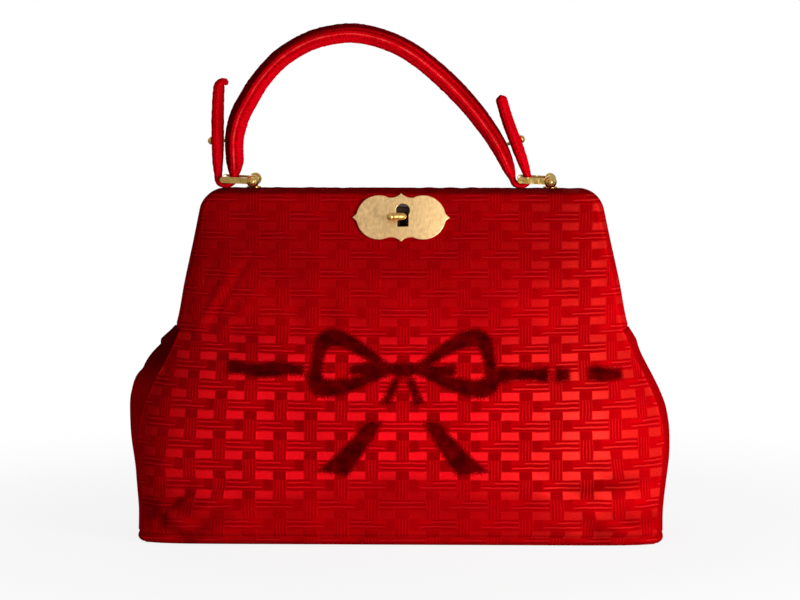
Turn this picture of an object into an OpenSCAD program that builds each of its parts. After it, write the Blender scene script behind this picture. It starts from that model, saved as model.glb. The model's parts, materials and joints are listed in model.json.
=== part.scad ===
// Velvet frame handbag: two hinged frame halves, a sprung catch and a strap handle on swinging rings.
// The front faces -Y, up is +Z and the origin lies on the floor under the middle of the bag.

/* [Bag body] */
// Height of the closed bag from the floor to the top of its frame
bag_h = 192; // [186:1:200]
// Width of the body at its widest
body_w = 298; // [280:1:310]
// Depth of the body near its base
body_d = 112; // [104:1:120]
// Height of the frame hinges above the floor
hinge_z = 117; // [112:1:120]
// Radius of the rounded top corners
corner_r = 11; // [8:0.5:13]
// Radius of the roll where the velvet turns over the frame's top
top_r = 6; // [5:0.25:7]
// Thickness of the velvet with its interlining
velvet_t = 2; // [1.6:0.1:2.2]
// Thickness of the lining
lining_t = 0.9; // [0.7:0.1:1.1]
// Thickness of the base panel
base_t = 2.2; // [1.8:0.1:2.6]
// Thickness of the stiff board in the base
board_t = 3; // [2:0.25:3.25]
// How far the left gusset bags out under its hinge
left_bag = 8; // [4:0.5:11]
// How far the right gusset bags out under its hinge
right_bag = 0.5; // [0.5:0.5:6]
// Ease of the gussets' upper edges over the flaps
top_ease = 1.9; // [1.7:0.1:2.4]
// Height of the gathers in the gussets
gather_h = 1.3; // [0.5:0.1:1.6]
// Spacing of the gathers in the gussets
gather_pitch = 13; // [11:0.5:18]
// Depth of the pulled folds at the lower corners
fold_h = 2.2; // [0.5:0.1:2.6]
// Width of a pulled fold
fold_w = 9; // [7:0.5:12]

/* [Frame] */
// Thickness of a frame bar
bar_t = 4.9; // [4.4:0.1:5]
// Width of a frame bar
bar_w = 7.5; // [6.5:0.25:8]
// Distance of a frame bar from the outline of the bag
bar_inset = 5; // [4.75:0.25:5.25]
// Distance of a frame bar from the top of the bag
bar_drop = 2.4; // [2.3:0.05:2.8]
// Height above the hinge where a frame bar ends
bar_start = 5; // [4.8:0.1:6]
// Radius of a hinge eye
eye_r = 4.2; // [3.6:0.1:4.3]
// Thickness of a hinge eye
eye_t = 2.3; // [1.8:0.1:2.6]
// Distance of the hinge eyes from the outline of the bag
eye_inset = 13; // [12.5:0.25:13.5]
// Radius of a hinge rivet
rivet_r = 1.5; // [1.2:0.05:1.8]
// Radius of a hinge rivet's heads
rivet_head_r = 2.8; // [2.4:0.1:3.4]
// Thickness of a hinge rivet's heads
rivet_head_t = 1; // [0.7:0.1:1.2]

/* [Lock] */
// Distance of the lock's middle from the top of the bag
lock_drop = 15.3; // [14.5:0.1:16]
// Length of the lock plate between its end points
plate_w = 54; // [48:0.5:58]
// Radius of the two lobes of the lock plate
lobe_r = 12.4; // [11.5:0.1:12.8]
// Distance of a lobe's middle from the middle of the lock plate
lobe_x = 12.2; // [11.8:0.1:12.4]
// Half height of the lock plate at its waist
waist_h = 11.1; // [10.5:0.1:11.4]
// Half height of the lock plate at its upper and lower points
point_h = 13.6; // [13:0.1:14]
// Half width of the foot of those points
point_w = 7; // [6:0.25:8]
// Half height of the foot of the end points
tip_h = 6; // [5:0.25:7]
// Thickness of the lock plate
plate_t = 1.3; // [1:0.1:1.6]
// Radius of the round part of the keyhole
keyhole_r = 3.8; // [3.6:0.1:4]
// Height of the keyhole's round part above the lock's middle
keyhole_up = 3.9; // [3.6:0.1:4.1]
// Width of the keyhole's slot
slot_w = 6.1; // [5.8:0.1:6.4]
// Depth of the keyhole's slot under the lock's middle
slot_down = 5.1; // [4.9:0.1:5.6]
// Distance of the lever's stem from the middle plane
stem_x = 1; // [0.6:0.1:1.2]
// Height of the lever's stem above the lock's middle
stem_up = 1.2; // [1:0.1:1.6]
// Radius of the lever's stem
stem_r = 1.35; // [1.2:0.05:1.45]
// Distance that the lever stands out of the lock plate
stem_out = 2.6; // [2.2:0.1:4]
// Length of the finger lever
lever_l = 9.5; // [8:0.5:11]
// Radius of the finger lever
lever_r = 1.7; // [1.5:0.05:1.9]
// Turn of the finger lever to the left, in degrees
lever_turn = 58; // [50:1:65]
// Droop of the finger lever, in degrees
lever_droop = 12; // [5:1:18]
// Travel of the latch
latch_travel = 4; // [3:0.1:4.2]
// Half width of the lock case
case_x = 14; // [12:0.5:16]
// Room between the lock case and the cloth in front of it
case_room = 0.3; // [0.2:0.05:0.6]
// Depth of the lock case under the lock's middle
case_down = 11; // [10.5:0.1:12]
// Wall of the lock case
case_wall = 1; // [0.8:0.1:1.1]
// Radius of the return spring
spring_r = 1.8; // [1.5:0.1:2.2]
// Wall of the return spring
spring_wall = 0.6; // [0.4:0.05:0.7]
// Half width of the keeper
keeper_x = 11; // [9:0.5:13]
// Thickness of the keeper
keeper_t = 1.4; // [1:0.1:1.8]

/* [Handle] */
// Distance of a post from the middle plane, as a share of the width
post_share = 0.27617; // [0.265:0.00001:0.288]
// Distance of a post behind the middle plane
post_y = 3; // [2.8:0.1:3.2]
// Height of a ring pin above the top of the bag
pin_up = 4.3; // [4.2:0.1:5]
// Radius of a post
post_r = 2.2; // [1.8:0.1:2.3]
// Radius of a post's flange
flange_r = 4; // [3.4:0.1:4.4]
// Thickness of a post's flange
flange_t = 0.9; // [0.7:0.1:1]
// Length of a post's eye
post_eye_l = 7; // [6:0.25:8]
// Radius of a ring pin
pin_r = 1.3; // [1.1:0.05:1.4]
// Radius of a ring pin's domed ends
dome_r = 1.9; // [1.7:0.1:2.2]
// Radius of the ball eyes of a ring
ball_r = 3.5; // [3:0.1:3.6]
// Distance from a ring's pin to its far bar
ring_l = 16.5; // [15.5:0.25:18]
// Inner width of a ring
ring_gap = 20; // [19:0.25:21.5]
// Height of a ring's legs
leg_h = 3.4; // [3:0.1:3.6]
// Thickness of a ring's legs
leg_t = 2; // [1.6:0.1:2.4]
// Radius of a ring's far bar
far_r = 1.4; // [1.2:0.05:1.5]
// Lift of the rings from level, in degrees
ring_lift = 3; // [2:0.5:5]
// Width of the strap
strap_w = 17; // [15:0.25:17.5]
// Thickness of the strap where it turns round a ring
turn_t = 3.4; // [3:0.1:3.6]
// Thickness of the tabs
tab_t = 5.6; // [5:0.1:6]
// Thickness of the padded handle
pad_t = 10.5; // [9:0.25:11]
// Rise of the handle's middle line over the rings' far bars
handle_rise = 80.5; // [76:0.5:84]
// Height of the studs above the rings' far bars
stud_up = 21; // [20:0.25:22]
// Radius of a stud
stud_r = 2.3; // [2:0.1:2.6]
// Radius of a stud's shank
shank_r = 0.9; // [0.7:0.05:1.1]

/* [Hidden] */
$fn = 48;
fit_gap = 0.3;
run_gap = 0.05;
half_y = 0.4;
seam_share = 0.97;
// Outline of the body: height, half width and half depth as shares, then the squareness of the plan
lower_shares = [
    [0, 0.972, 0.93, 11], [0.06, 0.97, 0.975, 9], [0.16, 0.973, 1, 6.5], [0.3, 0.988, 1, 4.6],
    [0.45, 1, 0.985, 3.7], [0.6, 0.985, 0.945, 3.1], [0.73, 0.943, 0.87, 2.8], [0.87, 0.885, 0.745, 2.4],
    [1, 0.843, 0.585, 2.1]
];
upper_shares = [
    [0.31, 0.812, 0.455, 2.4], [0.64, 0.775, 0.332, 3.5], [0.92, 0.745, 0.225, 6.5], [1, 0.737, 0.197, 7]
];
form = concat(
    [for (r = lower_shares) [r[0] * hinge_z, r[1] * body_w / 2, r[2] * body_d / 2, r[3]]],
    [for (r = upper_shares)
        [hinge_z + r[0] * (bag_h - hinge_z), r[1] * body_w / 2, r[2] * body_d / 2, r[3]]]
);
// Lap of the flaps behind the body's upper edge
lap_low = 9;
lap_high = 3;
lap_end = 0.5;
feather_t = 0.35;
lap_gap = 0.4;
face_cols = 24;
side_cols = 4;
gusset_cols = 12;
row_shares = [0, 0.04, 0.1, 0.18, 0.28, 0.38, 0.48, 0.58, 0.66, 0.73, 0.79, 0.84, 0.885, 0.925, 0.96, 1];
flap_steps = 9;
lock_z = bag_h - lock_drop;
bar_top = bag_h - bar_drop;
bar_under = bar_top - bar_w;
pin_z = bag_h + pin_up;
post_x = post_share * body_w;
far_x = ring_l * cos(ring_lift);
far_z = pin_z + ring_l * sin(ring_lift);
turn_r = far_r + fit_gap + turn_t / 2;
hinge_w = half_w(hinge_z);
eye_x = hinge_w - eye_inset;
lean_step = 10;
face_lean = atan((half_d(lock_z - lean_step) - half_d(lock_z + lean_step)) / (2 * lean_step));
plate_seat = 0.25;
window_w = 6.8;
window_up = 8;
window_down = 6;
window_d = 9;
stem_z = lock_z + stem_up;
slide_x = 6;
slide_d = 3;
slide_h = 4;
slide_y = 4.4;
case_back = 0.8;
case_y = half_y + case_back;
case_d = half_d(bar_under) - velvet_t - case_room - case_y;
nose_w = 5;
nose_h = 2.4;
nose_out = 3.4;
nose_gap = 0.6;
keeper_y = half_y + case_back;
stem_gap = 0.4;
rivet_gap = 0.3;
board_inset = 8;
lining_z = base_t + board_t + 2 * fit_gap;
lining_gap = 0.4;
lining_t0 = velvet_t + lining_gap;
lining_drop = 2;
flap_lining_top = lock_z - case_down - lining_drop;
flap_lining_share = 0.86;

// Smooth curve through the rows of a table, column k
function seg(tab, x, i = 0) = i >= len(tab) - 2 || x < tab[i + 1][0] ? i : seg(tab, x, i + 1);
function slope(tab, i, k) =
    let (a = max(i - 1, 0), b = min(i + 1, len(tab) - 1)) (tab[b][k] - tab[a][k]) / (tab[b][0] - tab[a][0]);
function smooth(tab, x, k) =
    let (
        i = seg(tab, x),
        h = tab[i + 1][0] - tab[i][0],
        u = (x - tab[i][0]) / h,
        p = tab[i][k],
        q = tab[i + 1][k],
        m = slope(tab, i, k) * h,
        n = slope(tab, i + 1, k) * h
    )
    p + u * m + u * u * (3 * (q - p) - 2 * m - n) + u * u * u * (2 * (p - q) + m + n);
function mix(a, b, u) = a + (b - a) * u;
function clamp(u) = min(1, max(0, u));
function bell(u) = exp(-u * u);

// Half width, half depth and squareness of the plan at a height
function corner(z) =
    let (u = z - bag_h + corner_r) u <= 0 ? 0 : corner_r - sqrt(max(0, corner_r * corner_r - u * u));
function half_w(z) = smooth(form, z, 1) - corner(z);
function half_d(z) = smooth(form, z, 2);
function square_of(z) = smooth(form, z, 3);
function seam_d(n) = pow(1 - pow(seam_share, n), 1 / n);

// Places across the face, closer together towards the seams
function face_e(i, cols) = sin(90 * (2 * i / cols - 1));

// A point of the front: e within 1 runs between the seams, beyond 1 round the side to the middle plane
function plan_point(e, w, d, n) =
    abs(e) <= 1
        ? [e * seam_share * w, -d * pow(1 - pow(abs(e) * seam_share, n), 1 / n)]
        : let (k = (2 - abs(e)) * seam_d(n)) [sign(e) * w * pow(1 - pow(k, n), 1 / n), -d * k];
function front_point(e, z, t) =
    let (p = plan_point(e, half_w(z) - t, half_d(z) - t, square_of(z))) [p[0], p[1], z];

// Pulled folds that run up and inwards from the lower corners
fold_shares = [[0.62, 0.05, 40], [0.8, 0.1, 58], [0.92, 0.3, 66]];
function fold(e, z, f) =
    let (
        x = (abs(e) - f[0]) * body_w / 2,
        y = z - f[1] * hinge_z,
        across = x * sin(f[2]) + y * cos(f[2]),
        along = -x * cos(f[2]) + y * sin(f[2])
    )
    bell(across / fold_w) * bell(along / (fold_w * 3));
function folds(e, z) =
    fold_h * clamp((1 - abs(e)) * 12) * clamp(z / fold_w) * (fold(e, z, fold_shares[0])
        + fold(e, z, fold_shares[1]) + fold(e, z, fold_shares[2]) / 2);

// Closed shell between two grids of points
function shell_faces(cols, rows) =
    let (n = cols * rows)
    concat(
        [for (i = [0 : cols - 2], j = [0 : rows - 2], k = [0, 1])
            let (a = i * rows + j, b = a + rows) k == 0 ? [a, a + 1, b + 1] : [a, b + 1, b]],
        [for (i = [0 : cols - 2], j = [0 : rows - 2], k = [0, 1])
            let (a = n + i * rows + j, b = a + rows) k == 0 ? [a, b + 1, a + 1] : [a, b, b + 1]],
        [for (i = [0 : cols - 2], k = [0, 1])
            let (a = i * rows, b = a + rows) k == 0 ? [a, b, n + b] : [a, n + b, n + a]],
        [for (i = [0 : cols - 2], k = [0, 1])
            let (a = i * rows + rows - 1, b = a + rows) k == 0 ? [a, n + b, b] : [a, n + a, n + b]],
        [for (j = [0 : rows - 2], k = [0, 1]) k == 0 ? [n + j, n + j + 1, j + 1] : [n + j, j + 1, j]],
        [for (j = [0 : rows - 2], k = [0, 1])
            let (a = (cols - 1) * rows + j) k == 0 ? [n + a, a + 1, n + a + 1] : [n + a, a, a + 1]]
    );
module shell(outer, inner) {
    cols = len(outer);
    rows = len(outer[0]);
    polyhedron(
        points = concat([for (c = outer) each c], [for (c = inner) each c]),
        faces = shell_faces(cols, rows),
        convexity = 8
    );
}

// Upper edge of the body: high behind the flaps' lap and lower at the side seams
edge_low_share = 0.1;
edge_run_share = 0.12;
function edge_rise(e) = mix(edge_low_share, 1, clamp((1 - abs(e)) / edge_run_share));
function wall_rows(e) =
    concat(
        [for (r = row_shares) mix(base_t, hinge_z - lap_low, r)],
        [mix(hinge_z - lap_low, hinge_z - lap_high, edge_rise(e))]
    );
function wall_in(e, j) = j < len(row_shares) ? velvet_t : mix(velvet_t, feather_t, edge_rise(e));

module body_wall() {
    es = [for (i = [0 : face_cols]) face_e(i, face_cols)];
    shell(
        [for (e = es) [for (z = wall_rows(e)) front_point(e, z, -folds(e, z))]],
        [for (e = es) let (zs = wall_rows(e)) [for (j = [0 : len(zs) - 1])
            front_point(e, zs[j], wall_in(e, j) - folds(e, zs[j]))]]
    );
}

// Gusset: q runs from the front seam to the rear one
bag_mid_share = 0.735;
bag_run_share = 0.213;
ease_mid_share = 0.95;
ease_run_share = 0.07;
function bagging(q, z, bag) =
    let (
        room = pow(1 - q * q, 1.5),
        near = bell((z / hinge_z - bag_mid_share) / bag_run_share),
        ease = top_ease * bell((z / hinge_z - ease_mid_share) / ease_run_share)
    )
    room * (bag * near + ease + gather_h * near * sin(360 * (hinge_z - z) / gather_pitch));
function side_point(q, z, t, bag) =
    let (
        n = square_of(z),
        w = half_w(z) - t,
        d = half_d(z) - t,
        k = q * seam_d(n)
    )
    [w * pow(1 - pow(abs(k), n), 1 / n) + bagging(q, z, bag), d * k, z];
function gusset_rows(q) =
    concat(
        [for (r = row_shares) mix(base_t, hinge_z - lap_low, r)],
        [mix(hinge_z - lap_high / 2, mix(hinge_z - lap_low, hinge_z - lap_high, edge_rise(1)), abs(q))]
    );
module gusset(bag) {
    qs = [for (i = [0 : gusset_cols]) -1 + 2 * i / gusset_cols];
    shell(
        [for (q = qs) [for (z = gusset_rows(q)) side_point(q, z, 0, bag)]],
        [for (q = qs) let (zs = gusset_rows(q)) [for (j = [0 : len(zs) - 1])
            side_point(q, zs[j], wall_in(1, j), bag)]]
    );
}

// Whole plan of the body at a height, counter-clockwise from above
function body_ring(z, t, cols, sides) =
    let (n = square_of(z), w = half_w(z) - t, d = half_d(z) - t)
    concat(
        [for (i = [0 : cols - 1]) plan_point(face_e(i, cols), w, d, n)],
        [for (i = [0 : sides - 1])
            let (k = (-1 + 2 * i / sides) * seam_d(n)) [w * pow(1 - pow(abs(k), n), 1 / n), d * k]],
        [for (i = [0 : cols - 1]) let (p = plan_point(-face_e(i, cols), w, d, n)) [p[0], -p[1]]],
        [for (i = [0 : sides - 1])
            let (k = (1 - 2 * i / sides) * seam_d(n)) [-w * pow(1 - pow(abs(k), n), 1 / n), d * k]]
    );

module base_panel() color("darkred")
    linear_extrude(base_t) polygon(body_ring(0, 0, face_cols, side_cols * 2));

module base_board() color("tan") translate([0, 0, base_t])
    linear_extrude(board_t) polygon(body_ring(0, board_inset, face_cols, side_cols * 2));

module front_panel() color("firebrick") body_wall();

module rear_panel() color("firebrick") mirror([0, 1, 0]) body_wall();

module left_gusset() color("darkred") mirror([1, 0, 0]) gusset(left_bag);

module right_gusset() color("darkred") gusset(right_bag);

// Lining of the body: a cup that stands on the base board
cup_cols = 12;
cup_sides = 4;
cup_shares = [0, 0.15, 0.4, 0.7, 0.86, 1];
cup_top = hinge_z - lap_low - lap_high;
module body_lining() color("wheat") {
    rows = len(cup_shares);
    outer = [for (r = cup_shares) let (z = mix(lining_z, cup_top, r))
        [for (p = body_ring(z, lining_t0, cup_cols, cup_sides)) [p[0], p[1], z]]];
    inner = [for (r = cup_shares) let (z = mix(lining_z + lining_t, cup_top, r))
        [for (p = body_ring(z, lining_t0 + lining_t, cup_cols, cup_sides)) [p[0], p[1], z]]];
    n = len(outer[0]);
    m = n * rows;
    polyhedron(
        points = concat([for (c = outer) each c], [for (c = inner) each c]),
        faces = concat(
            [[for (i = [0 : n - 1]) i]],
            [[for (i = [n - 1 : -1 : 0]) m + i]],
            [for (j = [0 : rows - 2], i = [0 : n - 1], k = [0, 1])
                let (a = j * n + i, b = j * n + (i + 1) % n) k == 0 ? [a, a + n, b + n] : [a, b + n, b]],
            [for (j = [0 : rows - 2], i = [0 : n - 1], k = [0, 1])
                let (a = m + j * n + i, b = m + j * n + (i + 1) % n)
                k == 0 ? [a, b + n, a + n] : [a, b, b + n]],
            [for (i = [0 : n - 1], k = [0, 1])
                let (a = (rows - 1) * n + i, b = (rows - 1) * n + (i + 1) % n)
                k == 0 ? [a, m + a, m + b] : [a, m + b, b]]
        ),
        convexity = 8
    );
}

// Velvet of a flap: lap, face and the roll over the frame's top
flap_z0 = bag_h - top_r;
function flap_rows() =
    concat(
        [[hinge_z - lap_low, velvet_t + lap_gap, velvet_t + lap_gap + feather_t * 4]],
        [[hinge_z - lap_high, feather_t + lap_gap, velvet_t + feather_t]],
        [[hinge_z - lap_end, 0, velvet_t]],
        [for (k = [1 : flap_steps]) [mix(hinge_z, flap_z0, k / flap_steps), 0, velvet_t]]
    );
function below(e) = abs(e) <= 1 ? 1 : 2 - abs(e);
function lap_z(e, z) = z < hinge_z ? hinge_z - (hinge_z - z) * below(e) : z;
function behind(p) = [p[0], min(p[1], -half_y), p[2]];
function roll_point(e, a, t) =
    let (
        z = flap_z0 + top_r * sin(a),
        d = half_d(flap_z0) - top_r + (top_r - t) * cos(a),
        p = plan_point(e, half_w(z) - t, d, square_of(z))
    )
    [p[0], p[1], flap_z0 + (top_r - t) * sin(a)];
function top_point(e, t) =
    let (p = plan_point(e, half_w(bag_h) - t, half_y, square_of(bag_h))) [p[0], p[1], bag_h - t];
roll_angles = [30, 60, 90];
module flap_skin() {
    es = concat(
        [for (i = [0 : side_cols - 1]) -2 + i / side_cols],
        [for (i = [0 : face_cols]) face_e(i, face_cols)],
        [for (i = [1 : side_cols]) 1 + i / side_cols]
    );
    shell(
        [for (e = es) concat(
            [for (r = flap_rows()) behind(front_point(e, lap_z(e, r[0]), r[1] * below(e)))],
            [for (a = roll_angles) behind(roll_point(e, a, 0))],
            [behind(top_point(e, 0))]
        )],
        [for (e = es) concat(
            [for (r = flap_rows()) behind(front_point(e, lap_z(e, r[0]), mix(velvet_t, r[2], below(e))))],
            [for (a = roll_angles) behind(roll_point(e, a, velvet_t))],
            [behind(top_point(e, velvet_t))]
        )]
    );
}

// Stands children on the front face at the lock's middle, with -Y outwards
module on_front() translate([0, -half_d(lock_z), lock_z]) rotate([-face_lean, 0, 0]) children();

module front_flap() color("firebrick") difference() {
    flap_skin();
    on_front() translate([stem_x - window_w / 2, -window_d / 2, -window_down])
        cube([window_w, window_d, window_down + window_up]);
}

module rear_flap() color("firebrick") difference() {
    mirror([0, 1, 0]) flap_skin();
    for (s = [-1, 1]) translate([s * post_x, post_y, bar_top])
        cylinder(r = post_r + fit_gap, h = bar_drop * 2);
}

// Frame bar in the plane of the outline, with a hinge eye at each end
function bar_outer(z) = half_w(z) - bar_inset;
function bar_inner(z) = half_w(min(z, bag_h - corner_r)) - bar_inset - bar_w;
bar_steps = 10;
corner_steps = 6;
function bar_rows() =
    concat(
        [for (i = [0 : bar_steps]) mix(hinge_z + bar_start, bag_h - corner_r, i / bar_steps)],
        [for (i = [1 : corner_steps]) bag_h - corner_r + (bar_top - bag_h + corner_r) * i / corner_steps]
    );
module bar_outline() {
    up = bar_rows();
    side = [for (z = up) [bar_outer(z), z]];
    inside = [for (i = [0 : bar_steps])
        let (z = mix(hinge_z + bar_start, bar_under, i / bar_steps)) [bar_inner(z), z]];
    n = len(side);
    m = len(inside);
    polygon(concat(
        side,
        [for (i = [n - 1 : -1 : 0]) [-side[i][0], side[i][1]]],
        [for (i = [0 : m - 1]) [-inside[i][0], inside[i][1]]],
        [for (i = [m - 1 : -1 : 0]) inside[i]]
    ));
}
module eye_outline(bore) difference() {
    union() {
        circle(r = eye_r);
        polygon([
            [-half_y - bar_t, bar_start + bar_w / 2], [-half_y, bar_start + bar_w / 2],
            [-half_y, 0], [-eye_r, 0]
        ]);
    }
    circle(r = bore);
}
module frame_bar(at, bore) {
    translate([0, -half_y, 0]) rotate([90, 0, 0]) linear_extrude(bar_t) bar_outline();
    for (s = [0, 1]) mirror([s, 0, 0]) translate([at, 0, hinge_z]) rotate([90, 0, 90])
        linear_extrude(eye_t) eye_outline(bore);
}
module front_bar() color("silver") frame_bar(eye_x, rivet_r + run_gap);

module rear_bar() color("silver") mirror([0, 1, 0]) frame_bar(eye_x + eye_t + fit_gap, rivet_r);

module rivet() {
    from = eye_x - rivet_gap;
    to = eye_x + 2 * eye_t + fit_gap;
    translate([from, 0, hinge_z]) rotate([0, 90, 0]) {
        cylinder(r = rivet_r, h = to - from);
        translate([0, 0, -rivet_head_t]) cylinder(r = rivet_head_r, h = rivet_head_t);
        translate([0, 0, to - from]) cylinder(r = rivet_head_r, h = rivet_head_t);
    }
}
module left_rivet() color("goldenrod") mirror([1, 0, 0]) rivet();

module right_rivet() color("goldenrod") rivet();

// Lining of a flap, under the lock
lining_rows = 4;
lining_cols = 12;
module flap_lining() {
    es = [for (i = [0 : lining_cols]) face_e(i, lining_cols) * flap_lining_share];
    zs = [for (j = [0 : lining_rows]) mix(hinge_z + lap_high, flap_lining_top, j / lining_rows)];
    shell(
        [for (e = es) [for (z = zs) front_point(e, z, lining_t0)]],
        [for (e = es) [for (z = zs) front_point(e, z, lining_t0 + lining_t)]]
    );
}
module front_lining() color("wheat") flap_lining();

module rear_lining() color("wheat") mirror([0, 1, 0]) flap_lining();

// Lock plate: two lobes, a waist with ogee points above and below, and a point at each end
ogee_share = 1.1;
module ogee_point(foot, reach, rise) difference() {
    polygon([[-foot, 0], [foot, 0], [foot, rise], [0, reach], [-foot, rise]]);
    for (s = [-1, 1]) {
        chord = norm([foot, reach - rise]);
        r = chord * ogee_share;
        mid = [s * foot / 2, (rise + reach) / 2];
        out = [s * (reach - rise), foot] / chord;
        translate(mid + out * sqrt(r * r - chord * chord / 4)) circle(r = r);
    }
}
module plate_outline() difference() {
    union() {
        for (s = [-1, 1]) {
            translate([s * lobe_x, 0]) circle(r = lobe_r);
            rotate(-s * 90) ogee_point(tip_h, plate_w / 2, lobe_x + sqrt(lobe_r * lobe_r - tip_h * tip_h));
        }
        translate([-lobe_x, -waist_h]) square([2 * lobe_x, 2 * waist_h]);
        ogee_point(point_w, point_h, waist_h);
        rotate(180) ogee_point(point_w, point_h, waist_h);
    }
    translate([stem_x, keyhole_up]) circle(r = keyhole_r);
    translate([stem_x - slot_w / 2, -slot_down]) square([slot_w, slot_down + keyhole_up]);
}
module lock_plate() color("gold") on_front() translate([0, -plate_seat, 0]) rotate([90, 0, 0])
    linear_extrude(plate_t) plate_outline();

// Lock case: a box with a slot for the stem in front and one for the nose behind
case_z = lock_z - case_down;
case_h = bar_under - case_z;
module lock_case() color("silver") difference() {
    translate([-case_x, -case_y - case_d, case_z]) cube([2 * case_x, case_d, case_h]);
    translate([-case_x + case_wall, -case_y - case_d + case_wall, case_z + case_wall])
        cube([2 * (case_x - case_wall), case_d - 2 * case_wall, case_h - 2 * case_wall]);
    translate([
        stem_x - stem_r - stem_gap, -case_y - case_d - case_wall, stem_z - stem_r - stem_gap - latch_travel
    ])
        cube([2 * (stem_r + stem_gap), 3 * case_wall, 2 * (stem_r + stem_gap) + latch_travel]);
    translate([
        stem_x - nose_w / 2 - stem_gap, -case_y - 2 * case_wall,
        stem_z - nose_h / 2 - stem_gap - latch_travel
    ])
        cube([nose_w + 2 * stem_gap, 3 * case_wall, nose_h + 2 * stem_gap + latch_travel]);
}
lever_body_share = 0.68;
lever_neck_share = 0.72;
lever_head_share = 0.94;
stem_end = half_d(lock_z) + plate_seat + plate_t + stem_out;
module latch_slide() color("silver") {
    translate([stem_x - slide_x, -slide_y - slide_d, stem_z - slide_h / 2])
        cube([2 * slide_x, slide_d, slide_h]);
    translate([stem_x - nose_w / 2, -slide_y - slide_d / 2, stem_z - nose_h / 2])
        cube([nose_w, slide_y + slide_d / 2 + nose_out, nose_h]);
}
module finger_lever() color("gold") {
    translate([stem_x, -slide_y - slide_d, stem_z]) rotate([90, 0, 0])
        cylinder(r = stem_r, h = stem_end - slide_y - slide_d);
    translate([stem_x, -stem_end, stem_z]) rotate([0, -lever_droop, -lever_turn]) rotate([90, 0, 0]) {
        sphere(r = lever_r);
        cylinder(r = lever_r, h = lever_l * lever_body_share);
        cylinder(r = lever_r * lever_neck_share, h = lever_l - lever_r);
        translate([0, 0, lever_l - lever_r]) sphere(r = lever_r * lever_head_share);
    }
}
module latch_spring() color("dimgray")
    translate([stem_x, -slide_y - slide_d / 2, case_z + case_wall]) difference() {
        cylinder(r = spring_r, h = stem_z - slide_h / 2 - case_z - case_wall - fit_gap);
        translate([0, 0, -fit_gap]) cylinder(r = spring_r - spring_wall, h = case_h);
    }
module keeper() color("silver") difference() {
    translate([-keeper_x, keeper_y, case_z + case_wall])
        cube([2 * keeper_x, keeper_t, bar_under - case_z - case_wall]);
    translate([
        stem_x - nose_w / 2 - nose_gap, keeper_y - keeper_t, stem_z - nose_h / 2 - nose_gap - latch_travel
    ])
        cube([nose_w + 2 * nose_gap, 3 * keeper_t, nose_h + 2 * nose_gap + latch_travel]);
}

// Post on the rear bar, with an eye for the ring's pin
module post() {
    difference() {
        union() {
            translate([0, post_y, bar_top]) cylinder(r = post_r, h = pin_z - bar_top);
            translate([0, post_y, bag_h]) cylinder(r = flange_r, h = flange_t);
            translate([0, post_y - post_eye_l / 2, pin_z]) rotate([-90, 0, 0])
                cylinder(r = pin_r + post_r / 2, h = post_eye_l);
        }
        translate([0, post_y - post_eye_l, pin_z]) rotate([-90, 0, 0])
            cylinder(r = pin_r, h = 2 * post_eye_l);
    }
}
module left_post() color("gold") translate([-post_x, 0, 0]) post();

module right_post() color("gold") translate([post_x, 0, 0]) post();

ball_y = ring_gap / 2 + leg_t / 2;
pin_half = ball_y + ball_r + fit_gap;
module pin_dome() difference() {
    sphere(r = dome_r);
    translate([-dome_r, -dome_r, -2 * dome_r]) cube(2 * dome_r);
}
module ring_pin() translate([0, post_y - pin_half, pin_z]) rotate([-90, 0, 0]) {
    cylinder(r = pin_r, h = 2 * pin_half);
    for (s = [0, 1]) translate([0, 0, s * 2 * pin_half]) mirror([0, 0, 1 - s]) pin_dome();
}
module left_pin() color("gold") translate([-post_x, 0, 0]) ring_pin();

module right_pin() color("gold") translate([post_x, 0, 0]) ring_pin();

module ring() translate([0, post_y, pin_z]) rotate([0, ring_lift, 0]) difference() {
    union() {
        translate([-ring_l, -ball_y, 0]) rotate([-90, 0, 0]) cylinder(r = far_r, h = 2 * ball_y);
        for (s = [-1, 1]) {
            translate([-ring_l, s * ball_y - leg_t / 2, -leg_h / 2]) cube([ring_l, leg_t, leg_h]);
            translate([-ring_l, s * ball_y - leg_t / 2, 0]) rotate([-90, 0, 0])
                cylinder(r = leg_h / 2, h = leg_t);
            translate([0, s * ball_y, 0]) sphere(r = ball_r);
        }
    }
    translate([0, -pin_half, 0]) rotate([-90, 0, 0]) cylinder(r = pin_r + run_gap, h = 2 * pin_half);
}
module left_ring() color("gold") translate([-post_x, 0, 0]) ring();

module right_ring() color("gold") translate([post_x, 0, 0]) ring();

// Strap: places along its middle line as shares of the span between the far bars and of the rise
span = 2 * post_x;
left_far = -post_x - far_x;
right_far = post_x - far_x;
tab_shares = [
    [-0.018, 0.66, 1], [-0.023, 0.53, 1], [-0.025, 0.4, 1], [-0.025, 0.26, 1], [-0.023, 0.13, 0.9]
];
arch_shares = [
    [0.039, 0.1, 0.6], [0.038, 0.2, 0.85], [0.044, 0.3, 0.98], [0.06, 0.43, 1.02], [0.087, 0.555, 1.02],
    [0.128, 0.69, 1], [0.196, 0.835, 1], [0.287, 0.945, 1], [0.372, 0.992, 1], [0.45, 1, 1],
    [0.542, 0.957, 1], [0.634, 0.866, 1], [0.729, 0.713, 1], [0.814, 0.54, 0.95], [0.883, 0.363, 0.84],
    [0.93, 0.212, 0.72], [0.961, 0.085, 0.5]
];
right_tab_shares = [[1.008, 0.117, 0.9], [0.985, 0.255, 0.98], [0.957, 0.408, 1], [0.934, 0.56, 1]];
turn_steps = 8;
function place(s, t) = [left_far + s[0] * span, far_z + s[1] * handle_rise, s[2] * t];
function turn_round(x) =
    [for (i = [0 : turn_steps]) let (a = 180 + 180 * i / turn_steps)
        [x + turn_r * cos(a), far_z + turn_r * sin(a), turn_t]];
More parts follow.
